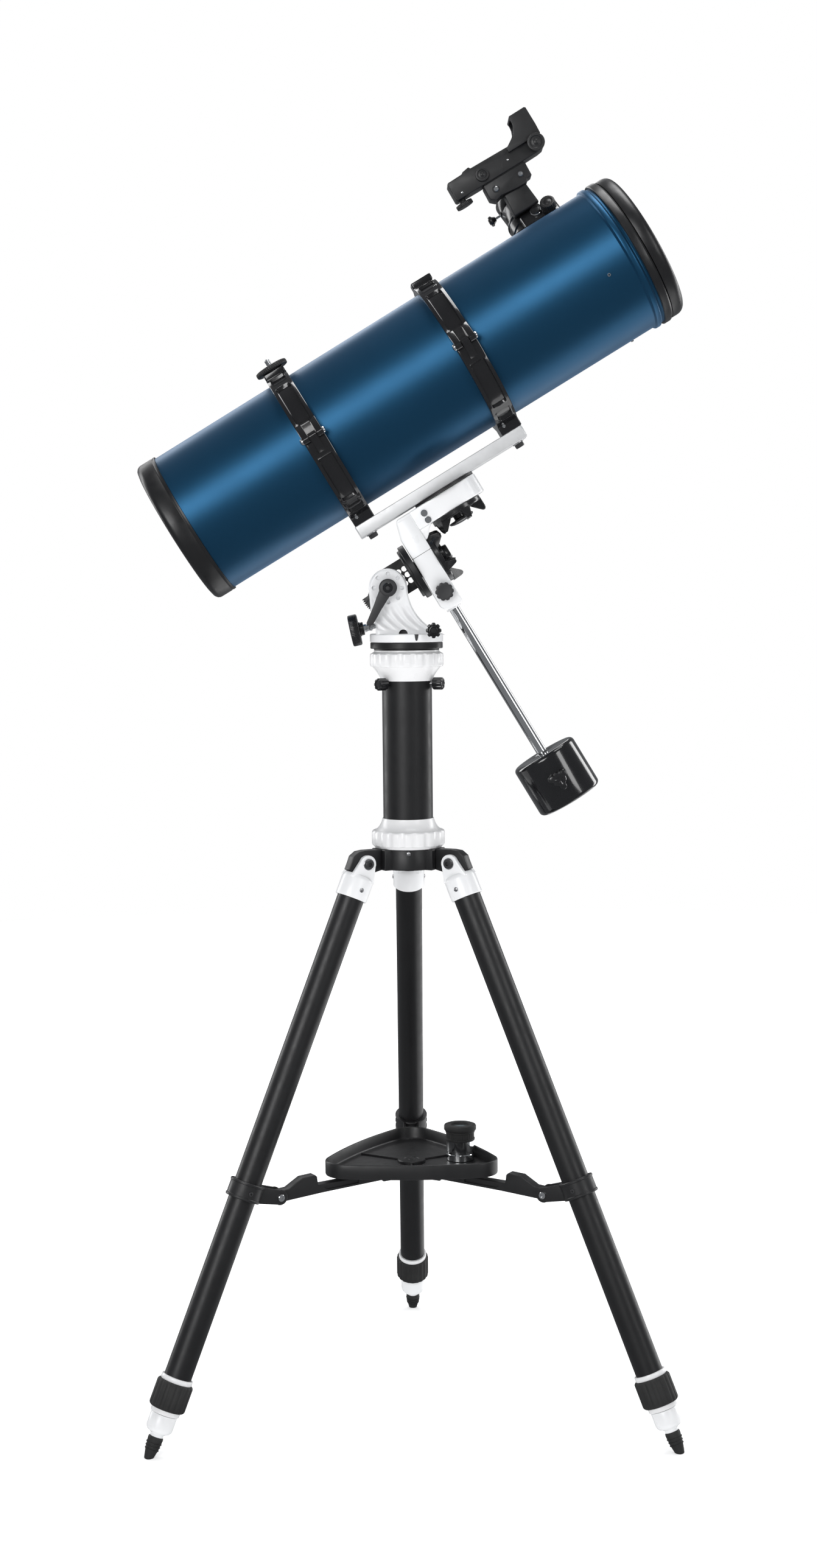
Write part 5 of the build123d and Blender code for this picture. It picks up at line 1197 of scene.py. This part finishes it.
# ---------------------------------------------------------------- focuser
def bead(bm, points, radius, count=6):
    """A thin raised line along points."""
    loops = []
    for i, p in enumerate(points):
        before = points[max(i - 1, 0)]
        after = points[min(i + 1, len(points) - 1)]
        along = (after - before).normalized()
        side = along.cross(BACK).normalized()
        loops.append([p + side * (radius * cos(2 * pi * k / count))
            + BACK * (radius * sin(2 * pi * k / count)) for k in range(count)])
    loft(bm, loops)
    return bm


def build_focuser():
    base = head(FOCUSER_ALONG, TUBE_UP)
    at = place_matrix(base, ALONG, OUT)
    body = "tube_carriage"
    bm = prism(bmesh.new(), at, [(x + 4, y) for x, y in rounded_box(30.6, 29.6, 8)], 70, 87)
    saddle = piece("focuser_saddle", bm, GLOSS_PLASTIC, body, "focuser_body", bevel=1.4, segments=3)
    bm = prism(bmesh.new(), at, [(x + 12, y) for x, y in rounded_box(22.4, 29.2, 4)], 80, 104.5)
    housing = piece("focuser_housing", bm, GLOSS_PLASTIC, body, bevel=2.6, segments=4)
    barrel = [(18.1, 76), (22.6, 76), (22.6, 103), (24.0, 104.2), (24.0, 113), (23.2, 114), (23.2, 116.4),
        (24, 117.2), (24, 118.6), (23, 119.9), (18.1, 119.9)]
    bm = lathe(bmesh.new(), at, barrel, 96, ring=True)
    tube = piece("focuser_barrel", bm, GLOSS_PLASTIC, body)
    for part in (saddle, housing, tube):
        drill(part, place_matrix(tube_axis_at(250), BACK, ALONG), TUBE_R + 0.03, 0, 200, 240)
        if part is not tube:
            drill(part, at, 18.1, 60, 130, 96)
        shade(part, 32)
    for k, (x, y) in enumerate(((-20, -24), (28, -24), (-20, 24), (28, 24)), start=1):
        spot = base + ALONG * x - TANGENT * y + OUT * 86.6
        socket_screw(f"focuser_screw_{k}", spot, OUT, 2.6, 1.8, STEEL, body)
    cap_at = base + ALONG * 9 + OUT * 97 + TANGENT * 29
    turned("tension_cap_ring", cap_at, TANGENT, [(4.6, 0), (6.7, 0), (6.7, 2.6), (6.2, 3.1), (4.6, 3.1)],
        CHROME, body, count=48, ring=True)
    turned("tension_cap", cap_at, TANGENT, [(0, 0), (5.9, 0), (5.9, 3.6), (5.2, 4.5), (3, 4.9), (0, 5.0)],
        GLOSS_PLASTIC, body, count=48)

    slide = "drawtube"
    draw = [(16.4, 66.3), (17.9, 66.3), (17.9, 119.6), (20.2, 120.4), (21, 121.2), (21, 138), (20.6, 138.6),
        (20.6, 140), (21, 140.6), (21, 155.4), (20.2, 156.8), (19, 157.3), (16.8, 157.3), (15.95, 156.6),
        (15.95, 118), (16.4, 116)]
    bm = lathe(bmesh.new(), at, draw, 96, ring=True)
    piece("focuser_draw_barrel", bm, GLOSS_PLASTIC, slide, "focuser_drawtube")
    screw = base + OUT * 146 - ALONG * 19.5
    rod("holder_screw_stem", screw, -ALONG, 1.5, 9, CHROME, slide, 0.2, count=24)
    cone = [(0, 0), (2.6, 0), (3.0, 0.6), (4.4, 3.4), (6.2, 4.6), (6.2, 6.4), (5.6, 7.2), (3.6, 7.4),
        (3.2, 8.4), (0, 8.6)]
    turned("holder_screw_head", screw - ALONG * 7.6, -ALONG, cone, GLOSS_PLASTIC, slide, count=48,
        shape=lambda a, h, r: r - (0.4 * max(0.0, -cos(16 * a)) if r > 6 else 0.0))

    pinion = base + ALONG * 23.5 + OUT * 91
    rod("pinion_shaft", pinion - TANGENT * 36, TANGENT, 2.95, 72, STEEL, "focus_pinion")
    for side in (-1, 1):
        axis = TANGENT * side
        knob(f"focus_knob_{side + 1}", pinion + axis * 30.4, axis, 8.5, 11, 24, 0.45, PLASTIC, "focus_pinion",
            "focuser_knobs" if side > 0 else None, hub=3.0, edge=1.0)


# ---------------------------------------------------------------- red-dot finder
FINDER_BACK = 40.0


def build_finder():
    body, plastic = "tube_carriage", "black_plastic"
    shoe = [(323.6, 324.6), (377.1, 323.9), (376.4, 306.8), (369.6, 306.2), (367.8, 302.6), (356, 303.0),
        (336, 305.4), (328.4, 303.2), (322.8, 308.4)]
    at = place_matrix(PIVOT + BACK * FINDER_BACK, ALONG, FRONT)
    block("finder_shoe", at, shoe, -12.6, 12.6, PLASTIC, body, "finder_bracket", bevel=1.0)
    block("finder_shoe_gap", at, [(325, 323.6), (376, 323.0), (376, 325.6), (325, 326.2)], -11.8, 11.8,
        INNER_BLACK, body, bevel=0.3)
    stem = [(337, 278), (369, 278), (366.4, 304), (338.6, 305)]
    obj = block("finder_stem", at, stem, -8.6, 8.6, PLASTIC, body, bevel=2.0)
    focus = place_matrix(head(FOCUSER_ALONG, TUBE_UP), ALONG, OUT)
    drill(obj, focus, 24.6, 60, 170, 96)
    shade(obj, 32)
    for k, along in enumerate((334.4, 366.2), start=1):
        socket_screw(f"finder_shoe_screw_{k}", head(along, 314.5, FINDER_BACK - 12.5), FRONT, 2.7, 1.2,
            CHROME, body, hex_r=1.4)
        turned(f"finder_screw_well_{k}", head(along, 314.5, FINDER_BACK - 12.5), FRONT,
            [(2.8, -0.4), (4.2, -0.4), (4.2, 0.2), (3.8, 0.5), (2.8, 0.5)], PLASTIC, body, count=40,
            ring=True)

    shell = [(289.8, 327.2), (291.4, 325.6), (322, 325.2), (377, 324.8), (396, 325.0), (402.4, 326.0),
        (406.2, 329.2), (407.4, 333.4), (407.4, 346.4), (366, 347.6), (353.6, 348.0), (321.4, 348.9),
        (320.6, 351.2), (311.8, 349.8), (310.0, 348.3), (291.8, 348.1), (290.2, 346.6)]
    block("finder_shell", at, shell, -13, 13, PLASTIC, body, "finder_body", bevel=1.5, segments=4)
    hood = [(366.5, 345.5), (371, 348.2), (376.1, 351.4), (380.6, 355.0), (383.8, 359.2), (385.8, 364.0),
        (386.4, 369.0), (385.9, 372.8), (386.6, 373.8), (406.2, 373.9), (407.6, 372.6), (407.8, 352.0),
        (407.3, 340.4), (366.5, 340.4)]
    obj = block("finder_hood", at, hood, -18.8, 18.8, PLASTIC, body, bevel=2.4, segments=5)
    window = place_matrix(head(350, 356.6, FINDER_BACK), BACK, ALONG)
    carve(obj, prism(bmesh.new(), window, rounded_box(15.2, 14.2, 6), 0, 80))
    shade(obj, 32)
    pane = place_matrix(head(392, 356.6, FINDER_BACK), BACK, ALONG)
    block("finder_window", pane, rounded_box(15.4, 14.4, 6), 0, 1.8, LENS, body, "finder_lens", bevel=0.2,
        segments=1)
    y = FINDER_BACK - 13.05
    seam = [(406.8, 350.4), (401, 350.4), (395.5, 349.6), (388, 348.6), (381.6, 346.9), (374, 346.2),
        (367, 345.0), (361.6, 342.6), (357.2, 339.2), (354.2, 335.2), (352.2, 330.8), (350.6, 326.2)]
    smooth_seam = []
    for (a0, u0), (a1, u1) in zip(seam, seam[1:]):
        smooth_seam += [head(a0 + (a1 - a0) * i / 4, u0 + (u1 - u0) * i / 4, y) for i in range(4)]
    piece("finder_seam", bead(bmesh.new(), smooth_seam, 0.28), GREY_PLASTIC, body, smooth=60)
    emitter = place_matrix(head(358, 347.6, FINDER_BACK), ALONG, UP)
    block("finder_emitter", emitter, rounded_box(5.0, 4.4, 1.2, 4), 0, 1.0, STEEL, body, bevel=0.3)
    knob("finder_rear_knob", head(328.8, 335.8, FINDER_BACK - 12.8), FRONT, 7.6, 4.4, 36, 0.22, PLASTIC, body,
        hub=1.8, edge=0.7)
    turned("finder_front_boss", head(397.4, 333.9, FINDER_BACK - 12.8), FRONT, [(0, 0), (6.4, 0), (6.0, 6.0),
        (0, 6.0)], PLASTIC, body, count=48)
    knob("finder_front_knob", head(397.4, 333.9, FINDER_BACK - 19.4), FRONT, 10.0, 4.9, 44, 0.25, PLASTIC,
        "finder_switch", "finder_knob", hub=2.6, edge=0.8)
    rod("finder_under_stem", head(297, 320, FINDER_BACK), UP, 4.0, 6, PLASTIC, body)
    knob("finder_under_knob", head(297, 317.4, FINDER_BACK), UP, 10.0, 4.8, 30, 0.4, PLASTIC, body, edge=0.8)
    for k in range(2):
        dome(f"finder_side_screw_{k + 1}", head(300 + 62 * k, 331 + 4 * k, y + 0.2), FRONT, 1.2, 0.5, CHROME,
            body)


build_focuser()
build_finder()


# ---------------------------------------------------------------- stage, light and camera
def stage():
    bm = bmesh.new()
    bmesh.ops.create_circle(bm, cap_ends=True, segments=96, radius=4.0)
    mesh = bpy.data.meshes.new("floor")
    bm.to_mesh(mesh)
    bm.free()
    floor = bpy.data.objects.new("floor", mesh)
    bpy.context.collection.objects.link(floor)
    paper = material("floor_paper", (0.93, 0.93, 0.93), 0.75, vary=0.01, vary_scale=2, bump=0.02)
    floor.data.materials.append(paper)
    tree = paper.node_tree
    place = node_of(tree, "TEX_COORD").outputs["Object"]
    distance = node(tree, "VectorMath", {0: place}, operation="LENGTH")
    glow = node(tree, "MapRange", {"From Min": 0.2, "From Max": 2.4, "To Min": 0.42, "To Max": 0.95,
        "Value": distance.outputs["Value"]}, interpolation_type="SMOOTHSTEP")
    feed(tree, tree.nodes["Principled BSDF"], {"Emission Color": (1, 1, 1, 1),
        "Emission Strength": glow.outputs["Result"]})
    floor.visible_glossy = False

    world = bpy.data.worlds.new("studio")
    bpy.context.scene.world = world
    world.use_nodes = True
    tree = world.node_tree
    wall = tree.nodes["Background"]
    feed(tree, wall, {"Color": (1, 1, 1, 1), "Strength": 1.0})
    room = node(tree, "Background", {"Color": (0.93, 0.96, 1, 1), "Strength": 0.2})
    ray = node(tree, "LightPath", {})
    pick = node(tree, "MixShader", {0: ray.outputs["Is Camera Ray"], 1: room.outputs[0], 2: wall.outputs[0]})
    feed(tree, tree.nodes["World Output"], {"Surface": pick.outputs[0]})


def softbox(name, place, target, size, power):
    """A rectangular lamp, lighting the part and unseen by the camera."""
    light = bpy.data.lights.new(name, "AREA")
    light.shape = "RECTANGLE"
    light.size, light.size_y = size
    light.energy = power
    obj = bpy.data.objects.new(name, light)
    bpy.context.collection.objects.link(obj)
    obj.location = place
    obj.rotation_euler = (Vector(target) - Vector(place)).to_track_quat("-Z", "Y").to_euler()
    obj.visible_camera = False


def studio():
    softbox("key", (-1.4, -3.2, 1.65), (0, 0, 0.9), (1.6, 1.6), 48)
    softbox("fill", (2.2, -2.4, 1.95), (0.1, 0, 0.8), (0.8, 1.7), 20)
    softbox("low", (0.75, 0.55, 0.06), (0, 0, 1.15), (1.5, 0.9), 5)
    softbox("back", (-0.7, 2.2, 2.3), (0, 0, 1.15), (2.2, 0.7), 11)
    softbox("top", (0.2, 0.1, 3.4), (0, 0, 0.9), (1.8, 1.2), 44)
    softbox("rim_left", (-2.6, 1.6, 1.5), (0, 0, 0.9), (0.9, 2.6), 34)
    softbox("rim_right", (2.6, 1.6, 1.5), (0, 0, 0.9), (0.9, 2.6), 34)


def camera():
    lens = bpy.data.cameras.new("camera")
    lens.lens = 50.0
    lens.sensor_width = 36.0
    lens.clip_start = 0.05
    obj = bpy.data.objects.new("camera", lens)
    bpy.context.collection.objects.link(obj)
    look = Matrix.Rotation(radians(90 - 4.83), 4, "X") @ Matrix.Rotation(radians(-0.55), 4, "Z")
    obj.matrix_world = Matrix.Translation((0.0007, -2.4463, 0.91975)) @ look
    bpy.context.scene.camera = obj
    bpy.context.scene.view_settings.view_transform = "Standard"


stage()
studio()
camera()
